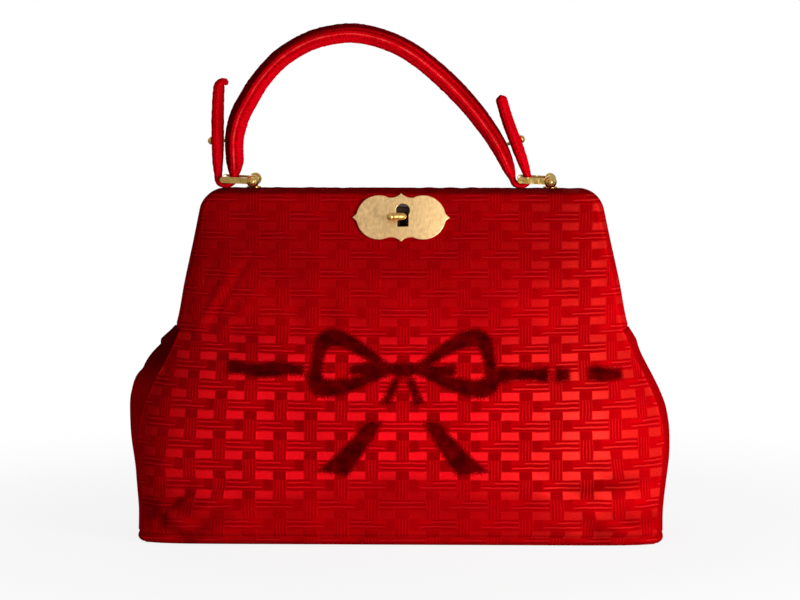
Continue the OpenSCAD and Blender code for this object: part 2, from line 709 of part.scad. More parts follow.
route = concat(
    [for (s = tab_shares) place(s, tab_t)],
    turn_round(left_far),
    [for (s = arch_shares) place(s, pad_t)],
    turn_round(right_far),
    [for (s = right_tab_shares) place(s, tab_t)]
);
ring_points = 12;
strap_round = 0.75;
function route_dir(i) =
    let (d = route[min(i + 1, len(route) - 1)] - route[max(i - 1, 0)], n = norm([d[0], d[1]]))
    [d[0] / n, d[1] / n];
function strap_ring(i) =
    let (p = route[i], d = route_dir(i))
    [for (k = [0 : ring_points - 1])
        let (
            a = 360 * (k + 0.5) / ring_points,
            u = sign(cos(a)) * pow(abs(cos(a)), strap_round) * p[2] / 2,
            v = sign(sin(a)) * pow(abs(sin(a)), strap_round) * strap_w / 2
        )
        [p[0] - d[1] * u, post_y + v, p[1] + d[0] * u]];
module strap() {
    n = len(route);
    m = ring_points;
    polyhedron(
        points = [for (i = [0 : n - 1]) each strap_ring(i)],
        faces = concat(
            [[for (k = [m - 1 : -1 : 0]) k]],
            [[for (k = [0 : m - 1]) (n - 1) * m + k]],
            [for (i = [0 : n - 2], k = [0 : m - 1], h = [0, 1])
                let (a = i * m + k, b = i * m + (k + 1) % m) h == 0 ? [a, b, b + m] : [a, b + m, a + m]]
        ),
        convexity = 8
    );
}
// Studs stand on the outer faces of the tabs, each pointing along its own line
stud_z = far_z + stud_up;
left_stud_share = 0.025;
right_stud_share = 0.0151;
left_stud_x = left_far - left_stud_share * span;
right_stud_x = right_far - right_stud_share * span;
right_stud_turn = 20;
stud_depth = 10;
module left_stud_line() translate([left_stud_x, post_y, stud_z]) rotate([0, -90, 0]) children();

module right_stud_line() translate([right_stud_x, post_y, stud_z])
    rotate([0, 90 - right_stud_turn, 0]) children();

module stud() {
    difference() {
        translate([0, 0, tab_t / 2]) sphere(r = stud_r);
        translate([-stud_r, -stud_r, tab_t / 2 - 2 * stud_r])
            cube([2 * stud_r, 2 * stud_r, 2 * stud_r + run_gap]);
    }
    translate([0, 0, -stud_depth]) cylinder(r = shank_r, h = stud_depth + tab_t / 2 + run_gap * 2);
}
module handle() color("crimson") difference() {
    strap();
    left_stud_line() translate([0, 0, -stud_depth - fit_gap])
        cylinder(r = shank_r + run_gap, h = 2 * stud_depth);
    right_stud_line() translate([0, 0, -stud_depth - fit_gap])
        cylinder(r = shank_r + run_gap, h = 2 * stud_depth);
}
module left_stud() color("gold") left_stud_line() stud();

module right_stud() color("gold") right_stud_line() stud();

base_panel();
base_board();
front_panel();
rear_panel();
left_gusset();
right_gusset();
body_lining();
front_flap();
front_bar();
front_lining();
lock_plate();
lock_case();
latch_slide();
finger_lever();
latch_spring();
rear_flap();
rear_bar();
rear_lining();
keeper();
left_rivet();
right_rivet();
left_post();
right_post();
left_pin();
right_pin();
left_ring();
right_ring();
handle();
left_stud();
right_stud();
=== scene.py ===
"""Dresses the velvet frame handbag: cloth, padded handle, brass fittings, and a plain studio."""
import json
import math

import bmesh
import bpy
import numpy as np
from bpy.props import FloatProperty, FloatVectorProperty, PointerProperty
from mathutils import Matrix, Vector, noise


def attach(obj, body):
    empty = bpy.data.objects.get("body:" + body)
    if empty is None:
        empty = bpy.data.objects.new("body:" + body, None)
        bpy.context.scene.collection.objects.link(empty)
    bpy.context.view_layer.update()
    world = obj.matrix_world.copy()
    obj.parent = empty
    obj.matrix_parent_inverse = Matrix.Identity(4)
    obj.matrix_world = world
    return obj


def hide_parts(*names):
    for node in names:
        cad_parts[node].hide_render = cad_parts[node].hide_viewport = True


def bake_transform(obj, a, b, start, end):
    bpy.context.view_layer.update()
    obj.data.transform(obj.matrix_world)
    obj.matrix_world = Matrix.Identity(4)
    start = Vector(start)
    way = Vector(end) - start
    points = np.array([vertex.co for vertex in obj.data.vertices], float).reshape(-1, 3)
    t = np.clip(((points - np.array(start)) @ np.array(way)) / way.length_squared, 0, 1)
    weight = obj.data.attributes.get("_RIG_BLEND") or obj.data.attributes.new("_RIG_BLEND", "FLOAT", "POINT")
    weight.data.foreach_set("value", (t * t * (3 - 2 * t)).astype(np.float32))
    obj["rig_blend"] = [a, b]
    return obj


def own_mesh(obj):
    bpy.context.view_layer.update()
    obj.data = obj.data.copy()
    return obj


bl_info = {
    "name": "Velvet frame handbag",
    "version": (1, 0, 0),
    "blender": (4, 5, 0),
    "location": "3D View > Sidebar > Handbag",
    "description": "Cloth, handle, fittings and studio for a velvet frame handbag",
    "category": "Object",
}

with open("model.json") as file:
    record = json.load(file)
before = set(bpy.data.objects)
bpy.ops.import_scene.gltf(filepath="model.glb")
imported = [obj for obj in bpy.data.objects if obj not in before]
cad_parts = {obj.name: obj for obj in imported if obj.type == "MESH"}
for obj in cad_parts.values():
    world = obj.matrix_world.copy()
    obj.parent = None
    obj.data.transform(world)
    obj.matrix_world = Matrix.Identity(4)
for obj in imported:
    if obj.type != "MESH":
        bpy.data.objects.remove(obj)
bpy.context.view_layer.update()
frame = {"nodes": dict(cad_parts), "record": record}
MM = 0.001

# The bag's form, in millimetres, as the solids have it; the front is towards -Y
BAG_H = 192
BODY_W = 298
BODY_D = 112
HINGE_Z = 117
CORNER_R = 11
TOP_R = 6
HALF_Y = 0.4
SEAM_SHARE = 0.97
LAP_LOW = 9
LAP_HIGH = 3
FLAP_Z = BAG_H - TOP_R
# Height as a share of the hinge's height, then width, depth and squareness
LOWER = (
    (0, 0.972, 0.93, 11),
    (0.06, 0.97, 0.975, 9),
    (0.16, 0.973, 1, 6.5),
    (0.3, 0.988, 1, 4.6),
    (0.45, 1, 0.985, 3.7),
    (0.6, 0.985, 0.945, 3.1),
    (0.73, 0.943, 0.87, 2.8),
    (0.87, 0.885, 0.745, 2.4),
    (1, 0.843, 0.585, 2.1),
)
# The same above the hinge, with height as a share of what is left
UPPER = (
    (0.31, 0.812, 0.455, 2.4),
    (0.64, 0.775, 0.332, 3.5),
    (0.92, 0.745, 0.225, 6.5),
    (1, 0.737, 0.197, 7),
)
FORM = [
    (low + share * rise, w * BODY_W / 2, d * BODY_D / 2, n)
    for low, rise, table in ((0, HINGE_Z, LOWER), (HINGE_Z, BAG_H - HINGE_Z, UPPER))
    for share, w, d, n in table
]
# The lock stands here on the front face, and the hem is stitched at this height
LOCK_X = 1
LOCK_Z = 176.7
HEM_Z = 5.2
# The flat cloth is measured from this height and this strip, and the bow's knot is at that height
WEAVE_Z = 76.5
STRIP_X = 2
KNOT_Z = 95.5
# Points nearer than this are one, in metres
MERGE = 1e-6
# The handle's posts, and the far bars of the rings that its ends go round
POST_X = 82.3
POST_Y = 3
FAR_Z = 197.164
LEFT_FAR = -98.777
SPAN = 164.6
RISE = 80.5


def linear(code):
    """Linear RGB of an sRGB hex colour."""
    parts = [int(code[i : i + 2], 16) / 255 for i in (1, 3, 5)]
    return [c / 12.92 if c <= 0.04045 else ((c + 0.055) / 1.055) ** 2.4 for c in parts]


def clamp(x):
    """x held between 0 and 1."""
    return min(1, max(0, x))


def bell(x):
    """A soft hump of height 1 and half-width about 1."""
    return math.exp(-x * x)


def form_slope(i, k):
    """Slope of a column of the form at its row i."""
    low = FORM[max(i - 1, 0)]
    high = FORM[min(i + 1, len(FORM) - 1)]
    return (high[k] - low[k]) / (high[0] - low[0])


def form_at(z, k):
    """A column of the form at height z, on a smooth curve through its rows."""
    i = 0
    while i < len(FORM) - 2 and z >= FORM[i + 1][0]:
        i += 1
    a, b = FORM[i], FORM[i + 1]
    h = b[0] - a[0]
    u = (z - a[0]) / h
    m = form_slope(i, k) * h
    n = form_slope(i + 1, k) * h
    rise = (2 * u**3 - 3 * u**2 + 1) * a[k] + (u**3 - 2 * u**2 + u) * m
    return rise + (3 * u**2 - 2 * u**3) * b[k] + (u**3 - u**2) * n


def corner(z):
    """How far the frame's rounded top corners draw the width in."""
    u = z - BAG_H + CORNER_R
    return 0 if u <= 0 else CORNER_R - math.sqrt(max(0, CORNER_R**2 - u**2))


def half_w(z):
    """Half the bag's width at height z."""
    return form_at(z, 1) - corner(z)


def half_d(z):
    """Half the bag's depth at height z."""
    return form_at(z, 2)


def seam_d(n):
    """Share of the depth at which the side seam stands."""
    return (1 - SEAM_SHARE**n) ** (1 / n)


def plan_point(e, w, d, n):
    """Point of the front half's plan: e from -1 to 1 is the face, and on to -2 and 2 the ends."""
    if abs(e) <= 1:
        return e * SEAM_SHARE * w, -d * (1 - (abs(e) * SEAM_SHARE) ** n) ** (1 / n)
    k = (2 - abs(e)) * seam_d(n)
    return math.copysign(w * (1 - k**n) ** (1 / n), e), -d * k


def face_point(e, z, t):
    """Point of the front face at height z, t inside the cloth's outer surface."""
    x, y = plan_point(e, half_w(z) - t, half_d(z) - t, form_at(z, 3))
    return x, y, z


def roll_point(e, a, t):
    """Point of the roll over the frame's top, at the turn a in degrees."""
    s, c = math.sin(math.radians(a)), math.cos(math.radians(a))
    z = FLAP_Z + TOP_R * s
    d = half_d(FLAP_Z) - TOP_R + (TOP_R - t) * c
    x, y = plan_point(e, half_w(z) - t, d, form_at(z, 3))
    return x, min(y, -HALF_Y), FLAP_Z + (TOP_R - t) * s


def end_point(q, z, t, bulge):
    """Point of the right gusset: q from -1 at the front seam to 1 at the rear one."""
    n = form_at(z, 3)
    k = q * seam_d(n)
    return (half_w(z) - t) * (1 - abs(k) ** n) ** (1 / n) + bulge, (half_d(z) - t) * k, z


def along_ridge(x, y, turn):
    """How far x, y lies along and beside a ridge that is turned from the level, in degrees."""
    s, c = math.sin(math.radians(turn)), math.cos(math.radians(turn))
    return x * c + y * s, y * c - x * s


def fold(x, y, turn, run, width):
    """A fold's hump at x, y from its middle."""
    along, beside = along_ridge(x, y, turn)
    return bell(beside / width) * bell(along / run)


# Folds of the face: x and z of the middle, the ridge's turn, half its run, its width and its height
FACE_FOLDS = (
    (-92, 8, 50, 26, 8, 2.2),
    (92, 8, 130, 26, 8, 2.2),
    (-119, 14, 32, 26, 8, 2.0),
    (119, 14, 148, 26, 8, 2.0),
    (-132, 38, 62, 20, 6, 1.2),
    (-126, 20, -35, 20, 4, 1.8),
    (-134, 12, 70, 12, 3.5, 1.4),
    (-112, 30, 20, 26, 4, -1.3),
    (-104, 20, 42, 20, 3.5, 1.2),
    (-122, 26, 55, 16, 3, -1.2),
    (-86, 14, 25, 16, 3.5, -1.0),
    (104, 24, 150, 34, 4, -1.5),
    (124, 30, 128, 26, 4.5, 1.8),
    (112, 12, 165, 28, 3.5, 1.4),
    (88, 17, 158, 30, 3.5, -1.0),
    (130, 16, 120, 14, 3.5, -1.2),
    (-104, 128, 62, 22, 3, 1.1),
    (-97, 134, 58, 24, 2.6, -1.0),
    (-90, 124, 50, 22, 3, 0.9),
    (-108, 146, 66, 18, 2.6, -0.7),
    (102, 130, 118, 18, 3, 0.7),
    (-60, 10, 8, 40, 5, 0.7),
    (40, 12, -6, 46, 5, 0.7),
    (0, 16, 2, 50, 4, -0.5),
)


# The lower corners, where the cloth is rumpled, and a dent near the right one
RUMPLE_X = 128
RUMPLE_Z = 14
DENT_X = 112
DENT_Z = 32


def ripple(x, y, z):
    """Smooth noise from -1 to 1."""
    return noise.noise(Vector((x, y, z)))


def folds(x, z):
    """How far the face's folds stand out at x and z."""
    return sum(
        height * fold(x - at_x, z - at_z, turn, run, width)
        for at_x, at_z, turn, run, width, height in FACE_FOLDS
    )


def face_relief(x, z, seed):
    """How far the face's folds and slack stand out of its smooth form."""
    slack = ripple(x / 42, z / 34, seed) + 0.5 * ripple(x / 17, z / 15, seed + 7)
    hinge = 0.7 * bell((z - HINGE_Z - 4) / 16) * ripple(x / 9, z / 40, seed + 3)
    # The cloth lies flat round the lock and under the frame's top
    away = clamp(math.hypot(x / 45, (z - LOCK_Z) / 26) - 0.8) * clamp((BAG_H - z) / 30)
    return (folds(x, z) + 0.75 * slack * away) * clamp(z / 9) + hinge * away


def painted_face_shading(x, z, seed):
    """Painted shade beside the folds, in the dent and along the hem, with a painted highlight under the dent,
    and dark blots at the rumpled corners.
    """
    fold_shade = 0
    # Painted shade beside each fold's ridge
    for at_x, at_z, turn, run, width, height in FACE_FOLDS:
        along, beside = along_ridge(x - at_x, z - at_z, turn)
        if abs(along) <= run:
            fold_shade += bell((width * 1.6 - abs(beside)) / 3) * 0.35 * abs(height)
    rumpled = bell((abs(x) - RUMPLE_X) / 34) * bell((z - RUMPLE_Z) / 20) * (1 if x < 0 else 0.6)
    blots = clamp(ripple(x / 11, z / 9, seed + 2) * 1.6 + 0.15) * rumpled
    # Painted shade along the dent, with a painted highlight just under it
    slope = z - DENT_Z - 0.12 * (x - 100)
    dent = bell((x - DENT_X) / 22) * (0.7 * bell(slope / 4) - 0.6 * bell((slope + 10) / 5))
    # Painted shade along the hem's stitching
    stitched = 0.3 * bell((z - HEM_Z) / 1.2)
    return clamp(0.9 * fold_shade * rumpled + 0.6 * blots + stitched) + dent


def hem(z):
    """How far the lower hem draws in: the stitched crease above the base, and the turn under it."""
    return 1.1 * bell((z - HEM_Z) / 0.8) + 2.6 * clamp(1 - z / 3.2) ** 2


class HandbagCloth(bpy.types.PropertyGroup):
    """Colours and weave of the bag's cloth."""

    pile: FloatVectorProperty(
        name="Pile", description="Red of the cut pile", subtype="COLOR", default=linear("#AF0006")
    )
    shade: FloatVectorProperty(
        name="Deep pile", description="Red of the closed pile blocks", subtype="COLOR",
        default=linear("#8D0004"),
    )
    # Satin ground, Dull satin and Lit satin are one satin under painted light: painted sheen on the belly,
    # painted shade off it, and painted light where the cloth faces the key light
    satin: FloatVectorProperty(
        name="Satin ground", description="Red of the satin where it shines on the belly", subtype="COLOR",
        default=linear("#F60F1B"),
    )
    dull_satin: FloatVectorProperty(
        name="Dull satin", description="Red of the satin elsewhere", subtype="COLOR",
        default=linear("#A80307"),
    )
    lit_satin: FloatVectorProperty(
        name="Lit satin", description="Red of the satin where it faces the light", subtype="COLOR",
        default=linear("#EC2B22"),
    )
    # On the belly the threads take the same painted sheen
    thread: FloatVectorProperty(
        name="Thread", description="Red of the fine threads off the belly", subtype="COLOR",
        default=linear("#C40D15"),
    )
    bow: FloatVectorProperty(
        name="Bow", description="Red of the tall pile of the bow", subtype="COLOR", default=linear("#3E0001")
    )
    lining: FloatVectorProperty(
        name="Lining", description="Colour of the satin lining", subtype="COLOR", default=linear("#C9B48C")
    )
    column_pitch: FloatProperty(
        name="Column pitch", description="Spacing of the upright strips", default=16.7 * MM, unit="LENGTH"
    )
    row_pitch: FloatProperty(
        name="Row pitch", description="Spacing of the level bands", default=10.75 * MM, unit="LENGTH"
    )
    strip_width: FloatProperty(
        name="Strip width", description="Width of an upright strip", default=7.2 * MM, unit="LENGTH"
    )
    band_height: FloatProperty(
        name="Band height", description="Height of a level band", default=6.3 * MM, unit="LENGTH"
    )
    thickness: FloatProperty(
        name="Velvet thickness", description="Thickness of the velvet", default=1.8 * MM, unit="LENGTH"
    )


class HandbagMetal(bpy.types.PropertyGroup):
    """Colours and edges of the metal fittings."""

    brass: FloatVectorProperty(
        name="Brass", description="Colour of the fittings' cast brass", subtype="COLOR",
        default=linear("#D6B063"),
    )
    plate: FloatVectorProperty(
        name="Plate brass", description="Colour of the pressed plate's paler brass", subtype="COLOR",
        default=linear("#FBD092"),
    )
    steel: FloatVectorProperty(
        name="Steel", description="Colour of the plated steel", subtype="COLOR", default=linear("#B9B4A8")
    )
    edge: FloatProperty(
        name="Edge", description="Rounding of the metal's edges", default=0.3 * MM, unit="LENGTH"
    )


class HandbagStudio(bpy.types.PropertyGroup):
    """Camera and light."""

    azimuth: FloatProperty(
        name="Azimuth", description="Turn of the camera round the bag", unit="ROTATION",
        default=math.radians(1.5),
    )
    distance: FloatProperty(
        name="Distance", description="From the bag to the camera", default=2.0, unit="LENGTH"
    )
    height: FloatProperty(
        name="Height", description="Of the camera above the floor", default=0.33, unit="LENGTH"
    )
    lens: FloatProperty(name="Lens", description="Focal length in millimetres", default=162.5)
    key: FloatProperty(name="Key light", description="Power of the key light in watts", default=6.8)
    fill: FloatProperty(name="Fill light", description="Power of the fill light in watts", default=1.8)
    overhead: FloatProperty(
        name="Overhead light", description="Power of the overhead light in watts", default=1.2
    )
    back: FloatProperty(
        name="Back light", description="Power of the light behind the bag in watts", default=8
    )
    ambient: FloatProperty(name="Ambient", description="Strength of the light from all round", default=0.2)


class HandbagSettings(bpy.types.PropertyGroup):
    """All the sizes and colours that a user may change."""

    cloth: PointerProperty(type=HandbagCloth)
    metal: PointerProperty(type=HandbagMetal)
    studio: PointerProperty(type=HandbagStudio)


# Kinds of node that come up often
MATH, MAP, MIX = "ShaderNodeMath", "ShaderNodeMapRange", "ShaderNodeMix"
VECTOR, NOISE, BUMP = "ShaderNodeVectorMath", "ShaderNodeTexNoise", "ShaderNodeBump"
COORDS, FLAT, PARTS = "ShaderNodeTexCoord", "ShaderNodeUVMap", "ShaderNodeSeparateXYZ"
MARK, STRETCH, RAMP = "ShaderNodeAttribute", "ShaderNodeMapping", "ShaderNodeValToRGB"
# Places of the inputs and the output of a Mix node that mixes colours
SHARE, UNDER, OVER, MIXED = 0, 6, 7, 2


def add(tree, kind, feeds=(), out=0, **settings):
    """Adds a node with its settings, feeds its inputs by name or place, and gives one of its outputs."""
    node = tree.nodes.new(kind)
    for name, value in settings.items():
        setattr(node, name, value)
    for key, value in feeds.items() if isinstance(feeds, dict) else enumerate(feeds):
        if isinstance(value, bpy.types.NodeSocket):
            tree.links.new(value, node.inputs[key])
        else:
            node.inputs[key].default_value = value
    return node.outputs[out]


def new_material(name, **sockets):
    """A material with its shader's constants set; gives the material, its tree and the shader."""
    material = bpy.data.materials.new(name)
    material.use_nodes = True
    tree = material.node_tree
    shader = tree.nodes["Principled BSDF"]
    for key, value in sockets.items():
        shader.inputs[key.replace("_", " ")].default_value = value
    return material, tree, shader


def wire(tree, shader, **sockets):
    """Links outputs to the shader's sockets of these names."""
    for key, output in sockets.items():
        tree.links.new(output, shader.inputs[key.replace("_", " ")])


def rgba(colour):
    """A colour with full alpha."""
    return (*colour, 1)


# What the cut pile of the body's cloth gives the shader
CUT_PILE = {
    "Sheen_Weight": 0.15,
    "Sheen_Roughness": 0.35,
    "Sheen_Tint": rgba(linear("#E60024")),
    "Specular_IOR_Level": 0.0,
}
# Pile tufts of 0.35 mm are drawn at 0.8 mm, so that they show
TUFT = 0.8 * MM
# Ribs of an upright strip, and ends of the short and the long line on a level band
RIB_PITCH = 1.75 * MM
SHORT_LINE = 13.5
LONG_LINE = 20.5


def basket_weave(tree, cloth, x, y):
    """Masks of the basket weave: satin windows, fine threads, the grooves beside them, closed blocks."""
    cells = []
    for along, pitch, width, soft in (
        (x, cloth.column_pitch, cloth.strip_width, 0.022),
        (y, cloth.row_pitch, cloth.band_height, 0.033),
    ):
        count = add(tree, MATH, (along, 1 / pitch), operation="MULTIPLY")
        nearest = add(tree, MATH, (count,), operation="ROUND")
        off = add(tree, MATH, (count, nearest), operation="SUBTRACT")
        far = add(tree, MATH, (off,), operation="ABSOLUTE")
        half = width / pitch / 2
        cells.append((count, nearest, off, add(tree, MAP, (far, half - soft, half + soft, 1, 0))))
    (u, column, across, strip), (v, row, upward, band) = cells
    # Upright strips go over at even crossings, level bands at odd ones
    crossing = add(tree, MATH, (column, row), operation="ADD")
    odd = add(tree, MATH, (crossing, 2), operation="FLOORED_MODULO")
    under = add(tree, MATH, (band, odd), operation="MULTIPLY")
    shown = add(tree, MATH, (1, under), operation="SUBTRACT")
    upright = add(tree, MATH, (strip, shown), operation="MULTIPLY")
    free = add(tree, MATH, (1, upright), operation="SUBTRACT")
    level = add(tree, MATH, (band, free), operation="MULTIPLY")
    covered = add(tree, MATH, (strip, band), operation="MAXIMUM")
    window = add(tree, MATH, (1, covered), operation="SUBTRACT")
    # Both kinds repeat over two crossings, and the level bands are mirrored about the middle strip
    from_middle = add(tree, MATH, (u,), operation="ABSOLUTE")
    rib_start = add(tree, MATH, (v, column), operation="ADD")
    run_start = add(tree, MATH, (row, from_middle), operation="SUBTRACT")
    repeats = []
    for start, shift in ((rib_start, 0.702), (run_start, -cloth.strip_width / cloth.column_pitch / 2)):
        start = add(tree, MATH, (start, shift), operation="ADD")
        start = add(tree, MATH, (start, 0.5), operation="MULTIPLY")
        repeats.append(add(tree, MATH, (start,), operation="FRACT"))
    rib_place, run_place = repeats
    # Upright strips are ribbed over a crossing and in the gap below it, and closed in the other gap
    ribbed = add(tree, MATH, (rib_place, 0.5), operation="LESS_THAN")
    ribbed = add(tree, MATH, (ribbed, upright), operation="MULTIPLY")
    closed = add(tree, MATH, (upright, ribbed), operation="SUBTRACT")
    turn = add(tree, MATH, (across, 2 * math.pi * cloth.column_pitch / RIB_PITCH), operation="MULTIPLY")
    wave = add(tree, MATH, (turn,), operation="COSINE")
    ribs, between = (
        add(tree, MATH, (add(tree, MAP, (wave, *ends)), ribbed), operation="MULTIPLY")
        for ends in ((0.35, 0.95, 0, 0.34), (-0.9, -0.1, 1, 0))
    )
    # A level band has a short line over a longer one, then a closed block before the next strip
    run = add(tree, MATH, (run_place, 2 * cloth.column_pitch / MM), operation="MULTIPLY")
    lines, sides = [], []
    for middle, end in ((1.45, SHORT_LINE), (-1.15, LONG_LINE)):
        off = add(tree, MATH, (upward, -middle * MM / cloth.row_pitch), operation="ADD")
        far = add(tree, MATH, (off,), operation="ABSOLUTE")
        begun = add(tree, MAP, (run, 0.1, 0.9, 0, 1))
        ended = add(tree, MAP, (run, end - 1, end + 0.5, 1, 0))
        span = add(tree, MATH, (ended, begun), operation="MULTIPLY")
        for found, inner, outer in ((lines, 0.02, 0.065), (sides, 0.1, 0.15)):
            near = add(tree, MAP, (far, inner, outer, 1, 0))
            found.append(add(tree, MATH, (near, span), operation="MULTIPLY"))
    line, side = (add(tree, MATH, found, operation="MAXIMUM") for found in (lines, sides))
    beside = add(tree, MATH, (side, line), operation="SUBTRACT", use_clamp=True)
    block = add(tree, MAP, (run, LONG_LINE, LONG_LINE + 1, 0, 1))
    line, beside, block = (
        add(tree, MATH, (mask, level), operation="MULTIPLY") for mask in (line, beside, block)
    )
    line = add(tree, MATH, (line, 0.72), operation="MULTIPLY")
    fine, groove, closed = (
        add(tree, MATH, pair, operation="MAXIMUM")
        for pair in ((line, ribs), (beside, between), (block, closed))
    )
    return window, fine, groove, closed


def painted_satin_sheen(tree, x, y):
    """How far the ground's painted sheen reaches, how far painted light falls on it, and how near it lies to
    the edge where it is lighter.
    """
    off_middle = add(tree, MATH, (x,), operation="ABSOLUTE")
    dip = add(tree, MATH, (off_middle, 0.15), operation="MULTIPLY")
    dipped = add(tree, MATH, (y, dip), operation="ADD")
    rising, falling, turned, painted_lit_side, edge_band = (
        add(tree, MAP, feeds, interpolation_type="SMOOTHSTEP")
        for feeds in (
            # The painted sheen lies over the belly, from 38 mm under the map's start, and lower to both
            # sides,
            (dipped, -0.046, -0.03, 0.06, 1),
            # to 40 mm over it
            (y, 0.024, 0.056, 1, 0.06),
            # Towards one edge the cloth turns away from the light, and painted shade dulls the satin there
            (x, -0.152, -0.092, 0.12, 1),
            # Towards the other edge it turns into the light, and painted light brightens it there
            (x, 0.02, 0.13, 0, 1),
            # At that edge itself the pile is lighter, and the windows are dulled
            (x, 0.096, 0.126, 0, 1),
        )
    )
    painted_sheen = add(tree, MATH, (rising, falling), operation="MINIMUM")
    painted_sheen = add(tree, MATH, (painted_sheen, turned), operation="MULTIPLY")
    # Where it faces the light, some of the painted sheen is left above and below the belly
    aside = add(tree, MATH, (painted_lit_side, 0.45), operation="MULTIPLY")
    painted_sheen = add(tree, MATH, (painted_sheen, aside), operation="MAXIMUM")
    dulled = add(tree, MAP, (edge_band, 0, 1, 1, 0.3))
    return add(tree, MATH, (painted_sheen, dulled), operation="MULTIPLY"), painted_lit_side, edge_band


def figured_velvet(cloth, name, bow):
    """Cut velvet on satin, woven as a basket: the pile drinks the light, the ground throws it back. Its
    satin's sheen and much of its shade are painted into the colour.
    """
    material, tree, shader = new_material(name, **CUT_PILE)
    place = add(tree, FLAT, uv_map="weave")
    # Threads wander by a fifth of a millimetre, over about 6 mm
    wander = add(tree, NOISE, {"Vector": place, "Scale": 1 / 0.006, "Detail": 1.0}, "Color")
    shift = add(tree, VECTOR, (wander, (0.5, 0.5, 0.5)), operation="SUBTRACT")
    moved = add(tree, VECTOR, (shift, (0.0008, 0.0008, 0)), operation="MULTIPLY")
    point = add(tree, VECTOR, (place, moved), operation="ADD")
    x = add(tree, PARTS, (point,))
    y = x.node.outputs["Y"]
    window, fine, groove, closed = basket_weave(tree, cloth, x, y)
    painted_sheen, painted_lit_side, edge_band = painted_satin_sheen(tree, x, y)
    tuft = add(tree, NOISE, {"Vector": place, "Scale": 1 / TUFT, "Detail": 2.0})
    worn = add(tree, NOISE, {"Vector": place, "Scale": 1 / 0.035, "Detail": 3.0})
    # The ground's weft threads, 0.5 mm apart, are drawn at 0.9 mm
    weft = add(tree, MATH, (y, 2 * math.pi / 0.0009), operation="MULTIPLY")
    weft = add(tree, MATH, (weft,), operation="SINE")
    height = [add(tree, MATH, (tuft, 0.5), operation="MULTIPLY")]
    height.append(add(tree, MATH, (weft, 0.06), operation="MULTIPLY"))
    layers = []
    if bow:
        # The bow is of taller pile, frayed by a tuft at its edge and brushed thin in places
        away = add(tree, MARK, out="Fac", attribute_name="bow")
        frayed = add(tree, MAP, (tuft, 0.3, 0.7, -1.0, 1.0))
        edge = add(tree, MATH, (away, frayed), operation="ADD")
        tall = add(tree, MAP, (edge, -1.7, 0.9, 1, 0))
        brushed = add(tree, NOISE, {"Vector": place, "Scale": 1 / 0.007, "Detail": 2.0})
        thin = add(tree, MAP, (brushed, 0.35, 0.72, 1, 0.76))
        tall = add(tree, MATH, (tall, thin), operation="MULTIPLY")
        low = add(tree, MATH, (1, tall), operation="SUBTRACT")
        window, fine, groove = (
            add(tree, MATH, (mask, low), operation="MULTIPLY") for mask in (window, fine, groove)
        )
        height.append(tall)
        layers.append((tall, rgba(cloth.bow)))
    ground = add(tree, MATH, (window, fine), operation="MAXIMUM")
    # Closed blocks are deeper where the painted sheen lies on the belly, and less so under the painted light
    # where the cloth faces the key light
    deep = add(tree, MAP, (painted_sheen, 0, 1, 0.4, 0.85))
    painted_light_lift = add(tree, MAP, (painted_lit_side, 0, 1, 1, 0.55))
    for share in (closed, painted_light_lift):
        deep = add(tree, MATH, (deep, share), operation="MULTIPLY")
    # The satin is painted lighter where the cloth faces the key light
    bright = {SHARE: painted_lit_side, UNDER: rgba(cloth.satin), OVER: rgba(cloth.lit_satin)}
    satin = add(tree, MIX, bright, MIXED, data_type="RGBA")
    # Windows and threads take the painted sheen's satin on the belly, and their dull reds elsewhere
    lit, thread = (
        add(tree, MIX, {SHARE: painted_sheen, UNDER: rgba(dull), OVER: satin}, MIXED, data_type="RGBA")
        for dull in (cloth.dull_satin, cloth.thread)
    )
    colour = rgba(cloth.pile)
    for share, over in [(deep, rgba(cloth.shade)), (window, lit), (fine, thread)] + layers:
        mixed = {SHARE: share, UNDER: colour, OVER: over}
        colour = add(tree, MIX, mixed, MIXED, data_type="RGBA")
    # Painted shade: the colour is deeper over the part that leans back, from 45 to 95 mm over the map's start
    level = add(tree, MAP, (y, 0.045, 0.095, 1, 0.74), interpolation_type="SMOOTHSTEP")
    # The crease mark carries painted shade, and a painted highlight where it is below nought
    crease = add(tree, MARK, out="Fac", attribute_name="crease")
    for feeds in (
        (tuft, 0.25, 0.75, 0.86, 1.1),
        (worn, 0.3, 0.7, 0.86, 1.08),
        (groove, 0, 1, 1, 0.72),
        (weft, -1, 1, 0.93, 1.05),
        (crease, -1, 2, 1.4, 0.2),
        (edge_band, 0, 1, 1, 1.18),
    ):
        level = add(tree, MATH, (level, add(tree, MAP, feeds)), operation="MULTIPLY")
    colour = add(tree, VECTOR, (colour, level), operation="MULTIPLY")
    rough = add(tree, MAP, (ground, 0, 1, 0.85, 0.42))
    glossy = add(tree, MATH, (ground, painted_sheen), operation="MULTIPLY")
    glossy = add(tree, MATH, (glossy, 0.35), operation="MULTIPLY")
    raised = add(tree, MATH, (1, ground), operation="SUBTRACT")
    for more in height:
        raised = add(tree, MATH, (raised, more), operation="ADD")
    bump = add(tree, BUMP, {"Height": raised, "Strength": 0.55, "Distance": 0.0005})
    wire(tree, shader, Base_Color=colour, Roughness=rough, Metallic=glossy, Normal=bump)
    return material


